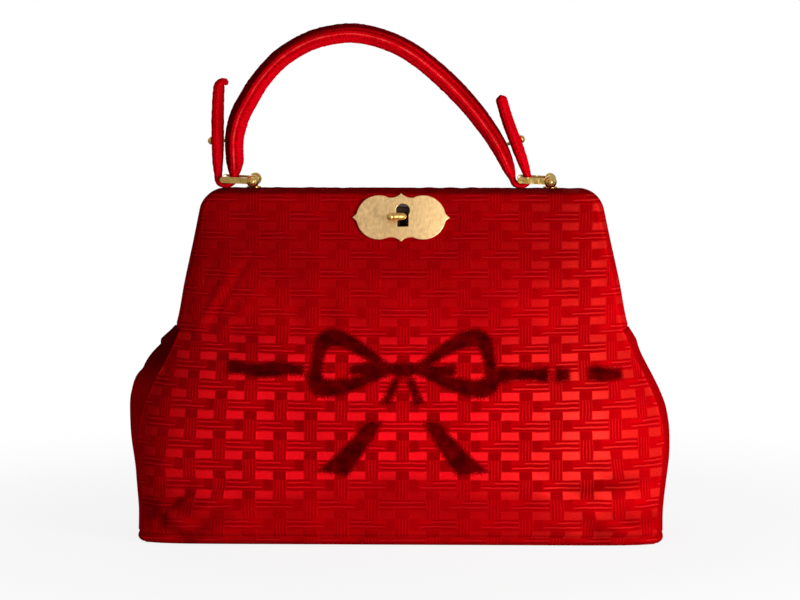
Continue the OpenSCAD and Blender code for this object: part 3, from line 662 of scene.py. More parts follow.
def gusset_velvet(cloth):
    """Plain cut velvet of the gussets: the same pile, no ground showing, darker where it is crushed."""
    material, tree, shader = new_material("gusset_velvet", Roughness=0.9, **CUT_PILE)
    place = add(tree, FLAT, uv_map="weave")
    tuft = add(tree, NOISE, {"Vector": place, "Scale": 1 / TUFT, "Detail": 2.0})
    # Crushed patches run over 12 mm
    crushed = add(tree, NOISE, {"Vector": place, "Scale": 1 / 0.012, "Detail": 3.0})
    mixed = {SHARE: crushed, UNDER: rgba(cloth.shade), OVER: rgba(cloth.pile)}
    tone = add(tree, MIX, mixed, MIXED, data_type="RGBA")
    speck = add(tree, MAP, (tuft, 0.25, 0.75, 0.8, 1.15))
    # Under the hinge the left one is drawn together, and painted shade darkens it there; the right one lies
    # open and is not darkened
    upward = add(tree, PARTS, (place,), "Y")
    across = add(tree, PARTS, (add(tree, COORDS, out="Object"),))
    right = add(tree, MAP, (across, -0.02, 0.02, 0, 1))
    drawn = add(tree, MAP, (upward, 0, 0.026, 1, 0.3), interpolation_type="SMOOTHSTEP")
    drawn = add(tree, MATH, (drawn, right), operation="MAXIMUM")
    level = add(tree, MATH, (speck, drawn), operation="MULTIPLY")
    colour = add(tree, VECTOR, (tone, level), operation="MULTIPLY")
    bump = add(tree, BUMP, {"Height": tuft, "Strength": 0.5, "Distance": 0.0005})
    wire(tree, shader, Base_Color=colour, Normal=bump)
    return material


def plain_velvet():
    """Plain cut velvet of the handle: dense short pile, no ground showing, with painted shade and a soft
    painted highlight along its edge.
    """
    material, tree, shader = new_material(
        "handle_velvet", Roughness=0.85, Sheen_Weight=0.3, Sheen_Roughness=0.3,
        Sheen_Tint=rgba(linear("#FF1428")), Specular_IOR_Level=0.0,
    )
    place = add(tree, FLAT, uv_map="weave")
    # Rows of tufts lie across the strap, 0.7 mm apart, drawn at 1.2 mm
    drawn = add(tree, STRETCH, {"Vector": place, "Scale": (1 / 0.0012, 1 / 0.005, 1)})
    rows = add(tree, NOISE, {"Vector": drawn, "Scale": 1.0, "Detail": 2.0})
    spot = add(tree, COORDS, out="Object")
    tuft = add(tree, NOISE, {"Vector": spot, "Scale": 1 / 0.0011, "Detail": 2.0})
    worn = add(tree, NOISE, {"Vector": spot, "Scale": 1 / 0.03, "Detail": 2.0})
    layer = add(tree, MARK, out="Fac", attribute_name="layer")
    colour = add(tree, RAMP, {"Fac": layer})
    # The layer ramp runs from painted shade, over the strap's reds, to the painted highlight along its rib
    ramp = colour.node.color_ramp.elements
    ramp[0].color = rgba(linear("#380004"))
    ramp[1].color = rgba(linear("#E85A4A"))
    ramp.new(0.5).color = rgba(linear("#B40009"))
    ramp.new(0.78).color = rgba(linear("#D60014"))
    speck = add(tree, MAP, (rows, 0.25, 0.75, 0.72, 1.2))
    patch = add(tree, MAP, (worn, 0.3, 0.7, 0.84, 1.12))
    level = add(tree, MATH, (speck, patch), operation="MULTIPLY")
    colour = add(tree, VECTOR, (colour, level), operation="MULTIPLY")
    height = add(tree, MATH, (rows, tuft), operation="ADD")
    bump = add(tree, BUMP, {"Height": height, "Strength": 0.6, "Distance": 0.0006})
    wire(tree, shader, Base_Color=colour, Normal=bump)
    return material


def satin_lining(cloth):
    """Plain satin of the lining: smooth floats with a soft lengthwise lustre and faint creases, with painted
    shade in their hollows.
    """
    material, tree, shader = new_material("lining_satin", Roughness=0.45, Sheen_Weight=0.15)
    place = add(tree, FLAT, uv_map="weave")
    # Floats of 0.2 mm are drawn at 0.6 mm across and 4 mm long
    drawn = add(tree, STRETCH, {"Vector": place, "Scale": (1 / 0.0006, 1 / 0.004, 1)})
    floats = add(tree, NOISE, {"Vector": drawn, "Scale": 1.0, "Detail": 1.0})
    crease = add(tree, NOISE, {"Vector": place, "Scale": 1 / 0.03, "Detail": 3.0})
    # Painted shade darkens the creases' hollows
    tint = add(tree, MAP, (crease, 0.3, 0.7, 0.82, 1.06))
    speck = add(tree, MAP, (floats, 0.3, 0.7, 0.93, 1.05))
    level = add(tree, MATH, (tint, speck), operation="MULTIPLY")
    colour = add(tree, VECTOR, (tuple(cloth.lining), level), operation="MULTIPLY")
    height = add(tree, MATH, (crease, floats), operation="ADD")
    bump = add(tree, BUMP, {"Height": height, "Strength": 0.3, "Distance": 0.001})
    wire(tree, shader, Base_Color=colour, Normal=bump)
    return material


def brushed_brass(metal):
    """Brass plate, brushed upright and lacquered: pale gold, streaked, with a few dull spots."""
    material, tree, shader = new_material("brushed_brass", Metallic=1.0)
    spot = add(tree, COORDS, out="Object")
    # Brush strokes of 0.1 mm are drawn at 0.5 mm across and 3 mm long
    stroke = add(tree, STRETCH, {"Vector": spot, "Scale": (1 / 0.0005, 1 / 0.003, 1 / 0.003)})
    streak = add(tree, NOISE, {"Vector": stroke, "Scale": 1.0, "Detail": 3.0})
    dull = add(tree, NOISE, {"Vector": spot, "Scale": 1 / 0.0025, "Detail": 4.0})
    tone = add(tree, MAP, (dull, 0.3, 0.7, 0.72, 1.08))
    line = add(tree, MAP, (streak, 0.3, 0.7, 0.8, 1.1))
    level = add(tree, MATH, (tone, line), operation="MULTIPLY")
    colour = add(tree, VECTOR, (tuple(metal.plate), level), operation="MULTIPLY")
    rough = add(tree, MAP, (dull, 0.3, 0.7, 0.5, 0.36))
    # The pressed plate is a shallow dome, of about 170 mm radius across
    across = add(tree, PARTS, (spot,))
    square = add(tree, MATH, (across, across), operation="MULTIPLY")
    dome = add(tree, MATH, (square, -1 / 0.34), operation="MULTIPLY")
    domed = add(tree, BUMP, {"Height": dome, "Strength": 1.0, "Distance": 1.0})
    grain = {"Height": streak, "Strength": 0.25, "Distance": 0.0002, "Normal": domed}
    wire(tree, shader, Base_Color=colour, Roughness=rough, Normal=add(tree, BUMP, grain))
    return material


def polished_brass(metal):
    """Cast brass, polished and aged: bright on the rounds, browner in patches that hands don't reach."""
    material, tree, shader = new_material("polished_brass", Metallic=1.0)
    spot = add(tree, COORDS, out="Object")
    aged = add(tree, NOISE, {"Vector": spot, "Scale": 1 / 0.004, "Detail": 3.0})
    fine = add(tree, NOISE, {"Vector": spot, "Scale": 1 / 0.0012, "Detail": 1.0})
    fade = add(tree, MAP, (aged, 0.45, 0.7, 0, 0.45))
    mixed = {SHARE: fade, UNDER: rgba(metal.brass), OVER: rgba(linear("#8C6A32"))}
    colour = add(tree, MIX, mixed, MIXED, data_type="RGBA")
    rough = add(tree, MAP, (aged, 0.35, 0.7, 0.2, 0.38))
    uneven = add(tree, BUMP, {"Height": aged, "Strength": 0.6, "Distance": 0.001})
    grain = {"Height": fine, "Strength": 0.15, "Distance": 0.0002, "Normal": uneven}
    wire(tree, shader, Base_Color=colour, Roughness=rough, Normal=add(tree, BUMP, grain))
    return material


def plated_steel(metal):
    """Nickel-plated steel strip of the frame and lock: grey, drawn lengthwise, faintly clouded."""
    material, tree, shader = new_material("nickel_plated_steel", Metallic=1.0)
    spot = add(tree, COORDS, out="Object")
    cloud = add(tree, NOISE, {"Vector": spot, "Scale": 1 / 0.012, "Detail": 3.0})
    grain = add(tree, NOISE, {"Vector": spot, "Scale": 1 / 0.0008, "Detail": 1.0})
    tone = add(tree, MAP, (cloud, 0.3, 0.7, 0.82, 1.05))
    colour = add(tree, VECTOR, (tuple(metal.steel), tone), operation="MULTIPLY")
    rough = add(tree, MAP, (cloud, 0.3, 0.7, 0.42, 0.3))
    bump = add(tree, BUMP, {"Height": grain, "Strength": 0.12, "Distance": 0.0002})
    wire(tree, shader, Base_Color=colour, Roughness=rough, Normal=bump)
    return material


def two_toned(name, patch, detail, dark, pale, **sockets):
    """A material whose colour wanders between two tones, in patches of this size in metres."""
    material, tree, shader = new_material(name, **sockets)
    spot = add(tree, COORDS, out="Object")
    patches = add(tree, NOISE, {"Vector": spot, "Scale": 1 / patch, "Detail": detail})
    colour = add(tree, RAMP, {"Fac": patches})
    for element, code in zip(colour.node.color_ramp.elements, (dark, pale)):
        element.color = rgba(linear(code))
    wire(tree, shader, Base_Color=colour)
    return material


def keyhole_shade_steel():
    """Steel of the lock's inside, made dark brown-black as painted shade in the keyhole: oily, with rubbed
    patches.
    """
    return two_toned("keyhole_shade_steel", 0.004, 3.0, "#1C1512", "#4A3C34", Metallic=1.0, Roughness=0.5)


def grey_board():
    """Pressed pulp board: brown-grey, matt, flecked."""
    return two_toned("pressed_board", 0.003, 4.0, "#6E5B40", "#A08A66", Roughness=0.9)


def material_of(name, make, *values):
    """The named material, made the first time that it is asked for."""
    return bpy.data.materials.get(name) or make(*values)


def laid_grid(columns, rows, place, marks=()):
    """A grid of cloth whose vertex in column i and row j goes to place(i, j), in millimetres.

    marks names the values that its vertices carry. Gives the bmesh and its vertices by column and row."""
    bm = bmesh.new()
    for mark in marks:
        bm.verts.layers.float.new(mark)
    wide, high = len(columns) - 1, len(rows) - 1
    bmesh.ops.create_grid(bm, x_segments=wide, y_segments=high, size=1)
    by_place = {}
    for vert in bm.verts:
        i = round((vert.co.x + 1) / 2 * wide)
        j = round((vert.co.y + 1) / 2 * high)
        by_place[i, j] = vert
    for (i, j), vert in by_place.items():
        vert.co = Vector(place(i, j)) * MM
    return bm, by_place


def lay_weave(bm, by_place, spot):
    """Gives the cloth its weave map: spot(i, j) is where a vertex lies in the flat cloth, in millimetres."""
    layer = bm.loops.layers.uv.new("weave")
    flat = {vert: spot(i, j) for (i, j), vert in by_place.items()}
    for face in bm.faces:
        for loop in face.loops:
            loop[layer].uv = Vector(flat[loop.vert]) * MM


def along_rows(points, middle):
    """Distance of each grid point from the middle column, measured along its row."""
    wide, high = max(points)
    run = {}
    for j in range(high + 1):
        run[middle, j] = 0
        for i in range(middle + 1, wide + 1):
            run[i, j] = run[i - 1, j] + math.dist(points[i, j], points[i - 1, j])
        for i in range(middle - 1, -1, -1):
            run[i, j] = run[i + 1, j] - math.dist(points[i, j], points[i + 1, j])
    return run


def up_column(points, column):
    """Distance of each row of a grid from the first one, measured along a column."""
    rise = [0]
    for j in range(1, max(points)[1] + 1):
        rise.append(rise[-1] + math.dist(points[column, j], points[column, j - 1]))
    return rise


def grid_points(by_place):
    """Where a grid's vertices lie, in millimetres."""
    return {key: tuple(vert.co / MM) for key, vert in by_place.items()}


def row_heights(top, steps):
    """Heights of a cloth's rows: close together at the hem, then even up to the top."""
    heights = [0.5 + 0.6 * k for k in range(14)]
    last = heights[-1]
    return heights + [last + (top - last) * k / steps for k in range(1, steps + 1)]


def round_plan(i, around):
    """For a column that goes round the bag: 1 in front or -1 behind, and its place on that half's plan."""
    lap = 4 * i / around % 4
    return (1, 2 * (lap - 1)) if lap < 2 else (-1, 2 * (3 - lap))


def close_tube(bm, is_first):
    """Merges a tube's seam and closes its two ends; is_first tells the edges of the one end."""
    bmesh.ops.remove_doubles(bm, verts=bm.verts, dist=MERGE)
    rims = [edge for edge in bm.edges if edge.is_boundary]
    first = [edge for edge in rims if is_first(edge)]
    for rim in (first, [edge for edge in rims if edge not in first]):
        bmesh.ops.edgeloop_fill(bm, edges=rim)
    bmesh.ops.recalc_face_normals(bm, faces=bm.faces)


def finish_mesh(bm, name, material, smooth_angle=None):
    """Makes an object of a bmesh, smooth-shaded, with its material."""
    for face in bm.faces:
        face.smooth = True
    mesh = bpy.data.meshes.new(name)
    bm.to_mesh(mesh)
    bm.free()
    if smooth_angle is not None:
        mesh.set_sharp_from_angle(angle=smooth_angle)
    mesh.materials.append(material)
    piece = bpy.data.objects.new(name, mesh)
    bpy.context.scene.collection.objects.link(piece)
    return piece


def thicken(piece, thickness, inside):
    """Gives a sheet its thickness, inwards, with another material on its inner face."""
    piece.data.materials.append(inside)
    solid = piece.modifiers.new("cloth_thickness", "SOLIDIFY")
    solid.material_offset = 1
    solid.thickness = thickness
    solid.offset = -1
    solid.use_even_offset = False
    return piece


def coat(node, material):
    """Gives a solid that stays as it is its material."""
    mesh = frame["nodes"][node].data
    mesh.materials.clear()
    mesh.materials.append(material)


def bow_lines():
    """Points of a plain tied bow's loops and knot, each with its half-width, in millimetres from the knot."""
    points = [(-3 + k / 2, 0.3, 4.6) for k in range(13)]
    for side in (-1, 1):
        for k in range(181):
            a = 2 * math.pi * k / 180
            out = ((1 - math.cos(a)) / 2) ** 0.85
            wave = math.copysign(abs(math.sin(a)) ** 0.5, math.sin(a))
            x = 5 + 42 * out - 3 * wave * out
            z = 4 * out + (21 if wave > 0 else 18) * wave * out**0.9
            waist = 2.4 * bell((a - math.pi) / 0.42)
            points.append((side * x, z, 1.7 + 4.6 * out**0.8 - waist))
    return points


# The band behind the bow, as dashes: start, stop, lower and upper edge, in millimetres from the knot
DASHES = (
    (-98, -54, -4.4, 4.4),
    (-30, -7, -3.6, 4),
    (7, 29, -3.6, 4),
    (50, 80, -7, 1.8),
    (83, 92, -7, 1.4),
    (101, 123, -7.2, 1),
)


def bow_pieces():
    """Corner points of the bow's tails and of the band behind it, in millimetres from the knot."""
    pieces = []
    for side in (-1, 1):
        for start, stop in ((0, 0.29), (0.45, 1)):
            outer, inner = [], []
            for k in range(9):
                s = start + (stop - start) * k / 8
                middle = 4 + 34.5 * s**1.45
                half = 2.6 + 6.6 * s**1.6
                outer.append((side * (middle + half), -4 - 52 * s))
                inner.append((side * (middle - half), -4 - 54 * s))
            pieces.append(outer + inner[::-1])
    for start, stop, low, high in DASHES:
        xs = [start + (stop - start) * k / 10 for k in range(11)]
        upper = [(x, high + 0.9 * math.sin(x / 4)) for x in xs]
        lower = [(x, low + math.sin(x / 5 + 1)) for x in reversed(xs)]
        pieces.append(upper + lower)
    return pieces


def polygon_distance(u, v, corners):
    """Distance of each point from a polygon's edge, negative inside it."""
    far = np.full(u.shape, np.inf)
    inside = np.zeros(u.shape, bool)
    for (ax, ay), (bx, by) in zip(corners, corners[1:] + corners[:1]):
        run, rise = bx - ax, by - ay
        s = np.clip(((u - ax) * run + (v - ay) * rise) / (run * run + rise * rise), 0, 1)
        far = np.minimum(far, np.hypot(u - ax - run * s, v - ay - rise * s))
        if rise:
            inside ^= ((ay > v) != (by > v)) & (u < run * (v - ay) / rise + ax)
    return np.where(inside, -far, far)


class HANDBAG_OT_sides(bpy.types.Operator):
    """Makes the front and rear cloths, each one sheet from the base over the frame's top"""

    bl_idname = "handbag.sides"
    bl_label = "Front and rear cloths"

    def execute(self, context):
        cloth = context.scene.handbag.cloth
        for name, body, nodes, flip in (
            ("front_cloth", "front_frame", ("front_panel", "front_flap"), 1),
            ("rear_cloth", "rear_frame", ("rear_panel", "rear_flap"), -1),
        ):
            piece = self.side(cloth, name, flip)
            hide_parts(*nodes)
            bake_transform(piece, "bag", body, start=(0, 0, 0.1), end=(0, 0, 0.13))
        return {"FINISHED"}

    def side(self, cloth, name, flip):
        # Columns crowd towards the side seams, and then go round the ends
        ends = [-2 + k / 14 for k in range(14)]
        across = [-1 + k / 90 for k in range(181)]
        face = [(t + 2.2 * math.sin(math.pi / 2 * t)) / 3.2 for t in across]
        columns = ends + face + [-e for e in reversed(ends)]
        middle = columns.index(0)
        # Rows go up the face, over the roll by turns of 10 degrees, and in to the mouth
        heights = row_heights(FLAP_Z, 108)
        full = len(heights)
        rows = heights + [10 * k for k in range(1, 10)] + [None]
        seed = 11 if flip == 1 else 23
        # How deep the ends tuck in behind the gusset, by height
        tuck = ((HINGE_Z - LAP_LOW, HINGE_Z - LAP_HIGH, HINGE_Z - 0.5), (2.6, 1.4, 0))

        def smooth_place(i, j):
            e, row = columns[i], rows[j]
            if row is None:
                x, y = plan_point(e, half_w(BAG_H), HALF_Y, form_at(BAG_H, 3))
                return x, min(y, -HALF_Y), BAG_H
            return roll_point(e, row, 0) if j >= full else face_point(e, row, 0)

        smooth = {(i, j): smooth_place(i, j) for i in range(len(columns)) for j in range(len(rows))}

        def place(i, j):
            e = columns[i]
            x, y, z = smooth[i, j]
            if j >= full:
                z += 0.4 * ripple(x / 6, flip, 1) * clamp((j - full) / 4)
            elif abs(e) > 1:
                below = 2 - abs(e)
                depth = float(np.interp(z, *tuck)) * below
                x, y, z = face_point(e, HINGE_Z - (HINGE_Z - z) * below if z < HINGE_Z else z, depth)
                y = min(y, -HALF_Y)
            else:
                out = face_relief(flip * x, z, seed) * clamp((1 - abs(e)) * 9) - hem(z)
                seam = -0.5 * bell((1 - abs(e)) / 0.008) if z < HINGE_Z - 4 else 0
                x, y, z = face_point(e, z, seam - out)
            return x, flip * y, z

        bm, by_place = laid_grid(columns, rows, place, ("bow", "crease"))
        crease = bm.verts.layers.float["crease"]
        for (i, j), vert in by_place.items():
            x, _, z = smooth[i, j]
            if j < full:
                # A painted highlight along the side seams above 50 mm, over the face's painted shade
                seam = bell((1 - abs(columns[i])) / 0.007) * clamp((z - 50) / 20)
                vert[crease] = painted_face_shading(flip * x, z, seed) - seam
            else:
                # Painted shade darkens the roll's top, from 25 degrees of its turn on
                vert[crease] = 1.3 * clamp(((rows[j] or 90) - 25) / 25)
        run, rise = along_rows(smooth, middle), up_column(smooth, middle)
        start, knot = (float(np.interp(z, heights, rise[:full])) for z in (WEAVE_Z, KNOT_Z))
        lay_weave(bm, by_place, lambda i, j: (flip * run[i, j] - STRIP_X, rise[j] - start))
        kind = "figured_velvet"
        if flip == 1:
            kind = "figured_velvet_with_bow"
            self.draw_bow(bm, by_place, run, rise, knot)
        self.cut(bm, {vert: abs(columns[i]) for (i, j), vert in by_place.items()}, flip)
        if flip == -1:
            bmesh.ops.reverse_faces(bm, faces=bm.faces)
        piece = finish_mesh(bm, name, material_of(kind, figured_velvet, cloth, kind, flip == 1))
        return thicken(piece, cloth.thickness, material_of("lining_satin", satin_lining, cloth))

    def draw_bow(self, bm, by_place, run, rise, knot):
        layer = bm.verts.layers.float["bow"]
        u = np.array([run[key] - STRIP_X for key in by_place])
        v = np.array([rise[j] - knot for i, j in by_place])
        far = np.full(u.shape, 20.0)
        for x, y, half in bow_lines():
            far = np.minimum(far, np.hypot(u - x, v - y) - half)
        for corners in bow_pieces():
            far = np.minimum(far, polygon_distance(u, v, corners))
        for vert, value in zip(by_place.values(), far):
            vert[layer] = value

    def cut(self, bm, column_of, flip):
        gone = []
        for face in bm.faces:
            spot = face.calc_center_median() / MM
            e = max(column_of[vert] for vert in face.verts)
            # The ends stop at the gusset, and the cloth is open behind the lock and round the posts
            end = e > 1.001 and spot.z < HINGE_Z - LAP_LOW * (2 - e) - 0.01
            lock = flip == 1 and abs(spot.x - LOCK_X) < 5 and LOCK_Z - 8 < spot.z < LOCK_Z + 9.5
            from_post = math.hypot(abs(spot.x) - POST_X, spot.y - POST_Y)
            if end or lock or flip == -1 and from_post < 3 and spot.z > FLAP_Z:
                gone.append(face)
        bmesh.ops.delete(bm, geom=gone, context="FACES")


class HANDBAG_OT_gussets(bpy.types.Operator):
    """Makes the two end cloths, which bag out between the side seams"""

    bl_idname = "handbag.gussets"
    bl_label = "Gussets"

    def execute(self, context):
        cloth = context.scene.handbag.cloth
        for name, side, bag, seed in (("left_gusset", -1, 8, 5), ("right_gusset", 1, 0.5, 9)):
            piece = self.gusset(cloth, name + "_cloth", side, bag, seed)
            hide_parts(name)
            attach(piece, "bag")
        return {"FINISHED"}

    def gusset(self, cloth, name, side, bag, seed):
        columns = [-1 + k / 24 for k in range(49)]
        top = HINGE_Z - LAP_LOW
        heights = row_heights(top, 70)
        full = len(heights)
        # Above that a few rows lead to the upper edge, and two more turn it in
        rows = heights + [k / 5 for k in range(1, 6)] + ["turn", "tuck"]

        def bulge(q, z):
            near = bell((z / HINGE_Z - 0.735) / 0.213)
            room = max(0, 1 - q * q) ** 1.5
            ease = 1.9 * bell((z / HINGE_Z - 0.95) / 0.07)
            drawn = bell((z / HINGE_Z - 0.86) / 0.12) * bag / 8
            wave = abs(math.sin(math.pi * (HINGE_Z - z + 6 * abs(q)) / 13)) ** 0.6
            gathers = 2.6 * drawn * (wave - 0.6)
            slack = 0.6 * ripple(q * 2.2, z / 16, seed) * clamp(z / 20)
            pleat = 1.6 * bell(q / 0.1) * clamp((z - 20) / 60) * bell((z - 90) / 60)
            hug = clamp((HINGE_Z - z) / 9)
            return room * (bag * near + ease + gathers + slack) * hug - pleat * (1 - near)

        def height(i, j):
            if j < full:
                return heights[j]
            high = HINGE_Z - LAP_HIGH / 2
            edge = high + (HINGE_Z - 3.5 - high) * abs(columns[i])
            return top + (edge - top) * (rows[j] if isinstance(rows[j], float) else 1)

        def place(i, j):
            q, z = columns[i], height(i, j)
            tuck = {"turn": 0.8, "tuck": 1.7}.get(rows[j], 0) * (1 - abs(q)) ** 0.5
            seam = 0.9 * bell((1 - abs(q)) / 0.05)
            x, y, z = end_point(q, z, seam + hem(z) + tuck, bulge(q, z) - tuck)
            return side * x, y, z - (1.2 if rows[j] == "tuck" else 0)

        bm, by_place = laid_grid(columns, rows, place)
        run = along_rows(grid_points(by_place), len(columns) // 2)
        lay_weave(bm, by_place, lambda i, j: (run[i, j], height(i, j) - WEAVE_Z))
        if side == -1:
            bmesh.ops.reverse_faces(bm, faces=bm.faces)
        piece = finish_mesh(bm, name, material_of("gusset_velvet", gusset_velvet, cloth))
        return thicken(piece, cloth.thickness, material_of("lining_satin", satin_lining, cloth))


class HANDBAG_OT_base(bpy.types.Operator):
    """Makes the base cloth and finishes the board inside it"""

    bl_idname = "handbag.base"
    bl_label = "Base"

    def execute(self, context):
        cloth = context.scene.handbag.cloth
        around = 160
        # How far each ring lies inside the edge, and its height
        rings = (
            (0.9, 2.1), (0.25, 1.6), (0, 1.0), (0.4, 0.35), (1.4, 0.05),
            (9, 0), (26, 0.1), (44, 0.15), (50, 0.15),
        )

        def place(i, j):
            inset, z = rings[j]
            flip, e = round_plan(i, around)
            w, d = (max(half(0) - 2.2 - inset, 1) for half in (half_w, half_d))
            x, y = plan_point(e, w, d, form_at(0, 3))
            return x, flip * y, z

        bm, by_place = laid_grid(range(around + 1), rings, place)
        lay_weave(bm, by_place, lambda i, j: tuple(by_place[i, j].co.xy / MM))
        close_tube(bm, lambda edge: max(v.co.z for v in edge.verts) < MM)
        kind = "figured_velvet"
        piece = finish_mesh(bm, "base_cloth", material_of(kind, figured_velvet, cloth, kind, False))
        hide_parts("base_panel")
        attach(piece, "bag")
        coat("base_board", material_of("pressed_board", grey_board))
        return {"FINISHED"}


class HANDBAG_OT_linings(bpy.types.Operator):
    """Makes the satin lining: the body's tub and the two upper sheets behind the frame halves"""

    bl_idname = "handbag.linings"
    bl_label = "Linings"

    def execute(self, context):
        satin = material_of("lining_satin", satin_lining, context.scene.handbag.cloth)
        self.tub(satin)
        self.upper("front", satin, 1)
        self.upper("rear", satin, -1)
        return {"FINISHED"}

    def tub(self, satin):
        around = 144
        # Share of the fall from the upper edge, and of the way out from the floor's middle
        wall = [(k / 40, 1) for k in range(41)]
        rows = wall + [(1, share) for share in (0.985, 0.9, 0.7, 0.4, 0.15, 0.02)]

        def place(i, j):
            fall, share = rows[j]
            flip, e = round_plan(i, around)
            # It ends below the fold in front and behind, and reaches higher at the gussets
            top = 97 + 7 * clamp((abs(e) - 0.8) / 0.4)
            z = top - (top - 6.5) * fall if share == 1 else 6.1
            x, y, _ = face_point(e, z, 4.2)
            pucker = 0.35 * ripple(x / 12, flip * y / 12, z / 30) if share == 1 else 0
            return x * share, flip * (y + pucker) * share, z

        bm, by_place = laid_grid(range(around + 1), rows, place)
        points = grid_points(by_place)
        run, drop = along_rows(points, 0), up_column(points, around // 8)
        lay_weave(bm, by_place, lambda i, j: (run[i, min(j, len(wall) - 1)], -drop[j]))
        bmesh.ops.remove_doubles(bm, verts=bm.verts, dist=MERGE)
        bmesh.ops.recalc_face_normals(bm, faces=bm.faces)
        piece = finish_mesh(bm, "body_lining_cloth", satin)
        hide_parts("body_lining")
        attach(piece, "bag")

    def upper(self, side, satin, flip):
        columns = [-0.86 + 1.72 * k / 80 for k in range(81)]
        rows = [88 + 75.5 * k / 40 for k in range(41)]
        # It hangs slack behind the hinge, so that it clears the cloth when the mouth opens
        slack = ((88, 96, 100, 104, 110, 117, 126, 138, 164), (5, 6.5, 9, 11, 10, 8, 6, 4.4, 4))

        def place(i, j):
            x, y, z = face_point(columns[i], rows[j], float(np.interp(rows[j], *slack)))
            return x, flip * (y + 0.3 * ripple(x / 10, z / 25, 3 + flip)), z

        bm, by_place = laid_grid(columns, rows, place)
        run = along_rows(grid_points(by_place), len(columns) // 2)
        lay_weave(bm, by_place, lambda i, j: (run[i, j], rows[j]))
        if flip == 1:
            bmesh.ops.reverse_faces(bm, faces=bm.faces)
        name = side + "_lining"
        piece = finish_mesh(bm, name + "_cloth", satin)
        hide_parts(name)
        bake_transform(piece, "bag", side + "_frame", start=(0, 0, 0.1), end=(0, 0, 0.13))


# The handle's route: share of the span, share of the rise, and share of the thickness
TAB = (
    (0.01, 0.644, 0.5), (0.005, 0.664, 0.6), (-0.006, 0.664, 0.8), (-0.016, 0.636, 1), (-0.02, 0.53, 1.1),
    (-0.022, 0.4, 1.14), (-0.022, 0.26, 1.14), (-0.022, 0.13, 1),
)
ARCH = (
    (0.036, 0.1, 0.84), (0.034, 0.2, 0.92), (0.036, 0.3, 0.98), (0.053, 0.43, 1.04), (0.085, 0.555, 1.04),
    (0.128, 0.69, 1), (0.196, 0.835, 1), (0.287, 0.945, 1), (0.372, 0.992, 1), (0.45, 1, 1),
    (0.542, 0.957, 1), (0.634, 0.866, 1), (0.729, 0.713, 1.02), (0.814, 0.54, 1), (0.883, 0.363, 0.94),
    (0.93, 0.212, 0.85), (0.958, 0.085, 0.66),
)
RIGHT_TAB = ((1.008, 0.117, 1), (0.983, 0.255, 1.14), (0.955, 0.408, 1.14), (0.931, 0.575, 1.1))
# Thickness of the tabs, of the padded arch and of the turns round the rings, and the turns' half-sizes
TAB_T = 5.6
PAD_T = 10.5
TURN_T = 3.4
TURN_R = 3.4
TURN_W = 4.4
# The strap's width and girth, the step along it, and how far its raised edges lie from the rib
STRAP_W = 17
STRAP_GIRTH = 52
STEP = 1.1
EDGE_LINE = 1.7


def handle_route():
    """The handle's middle line as X, Z and thickness, in millimetres, from the left tab to the right one."""
    points = []
    for shares, thick, turn_x in (
        (TAB, TAB_T, LEFT_FAR + 1),
        (ARCH, PAD_T, LEFT_FAR + SPAN),
        (RIGHT_TAB, TAB_T, None),
    ):
        points += [(LEFT_FAR + x * SPAN, FAR_Z + z * RISE, t * thick) for x, z, t in shares]
        for k in range(9) if turn_x else ():
            a = math.pi * (1 + k / 8)
            points.append((turn_x + TURN_W * math.cos(a), FAR_Z + TURN_R * math.sin(a), TURN_T))
    return points


def even_route(points, step):
    """Points at an even step along a smooth curve through the given ones."""
    fine = []
    for i in range(len(points) - 1):
        a, b, c, d = (np.array(points[min(max(i + k, 0), len(points) - 1)]) for k in (-1, 0, 1, 2))
        square, cube = 2 * a - 5 * b + 4 * c - d, 3 * b - a - 3 * c + d
        for u in (k / 12 for k in range(12)):
            fine.append(0.5 * (2 * b + (c - a) * u + square * u**2 + cube * u**3))
    fine.append(np.array(points[-1]))
    fine = np.array(fine)
    far = np.concatenate([[0], np.cumsum(np.hypot(*np.diff(fine[:, :2], axis=0).T))])
    spots = np.linspace(0, far[-1], int(far[-1] / step))
    return spots, np.stack([np.interp(spots, far, fine[:, k]) for k in range(3)], axis=1)


def squarer(x):
    """A sine or cosine drawn outwards, for a section between a circle and a square."""
    return math.copysign(abs(x) ** 0.75, x)


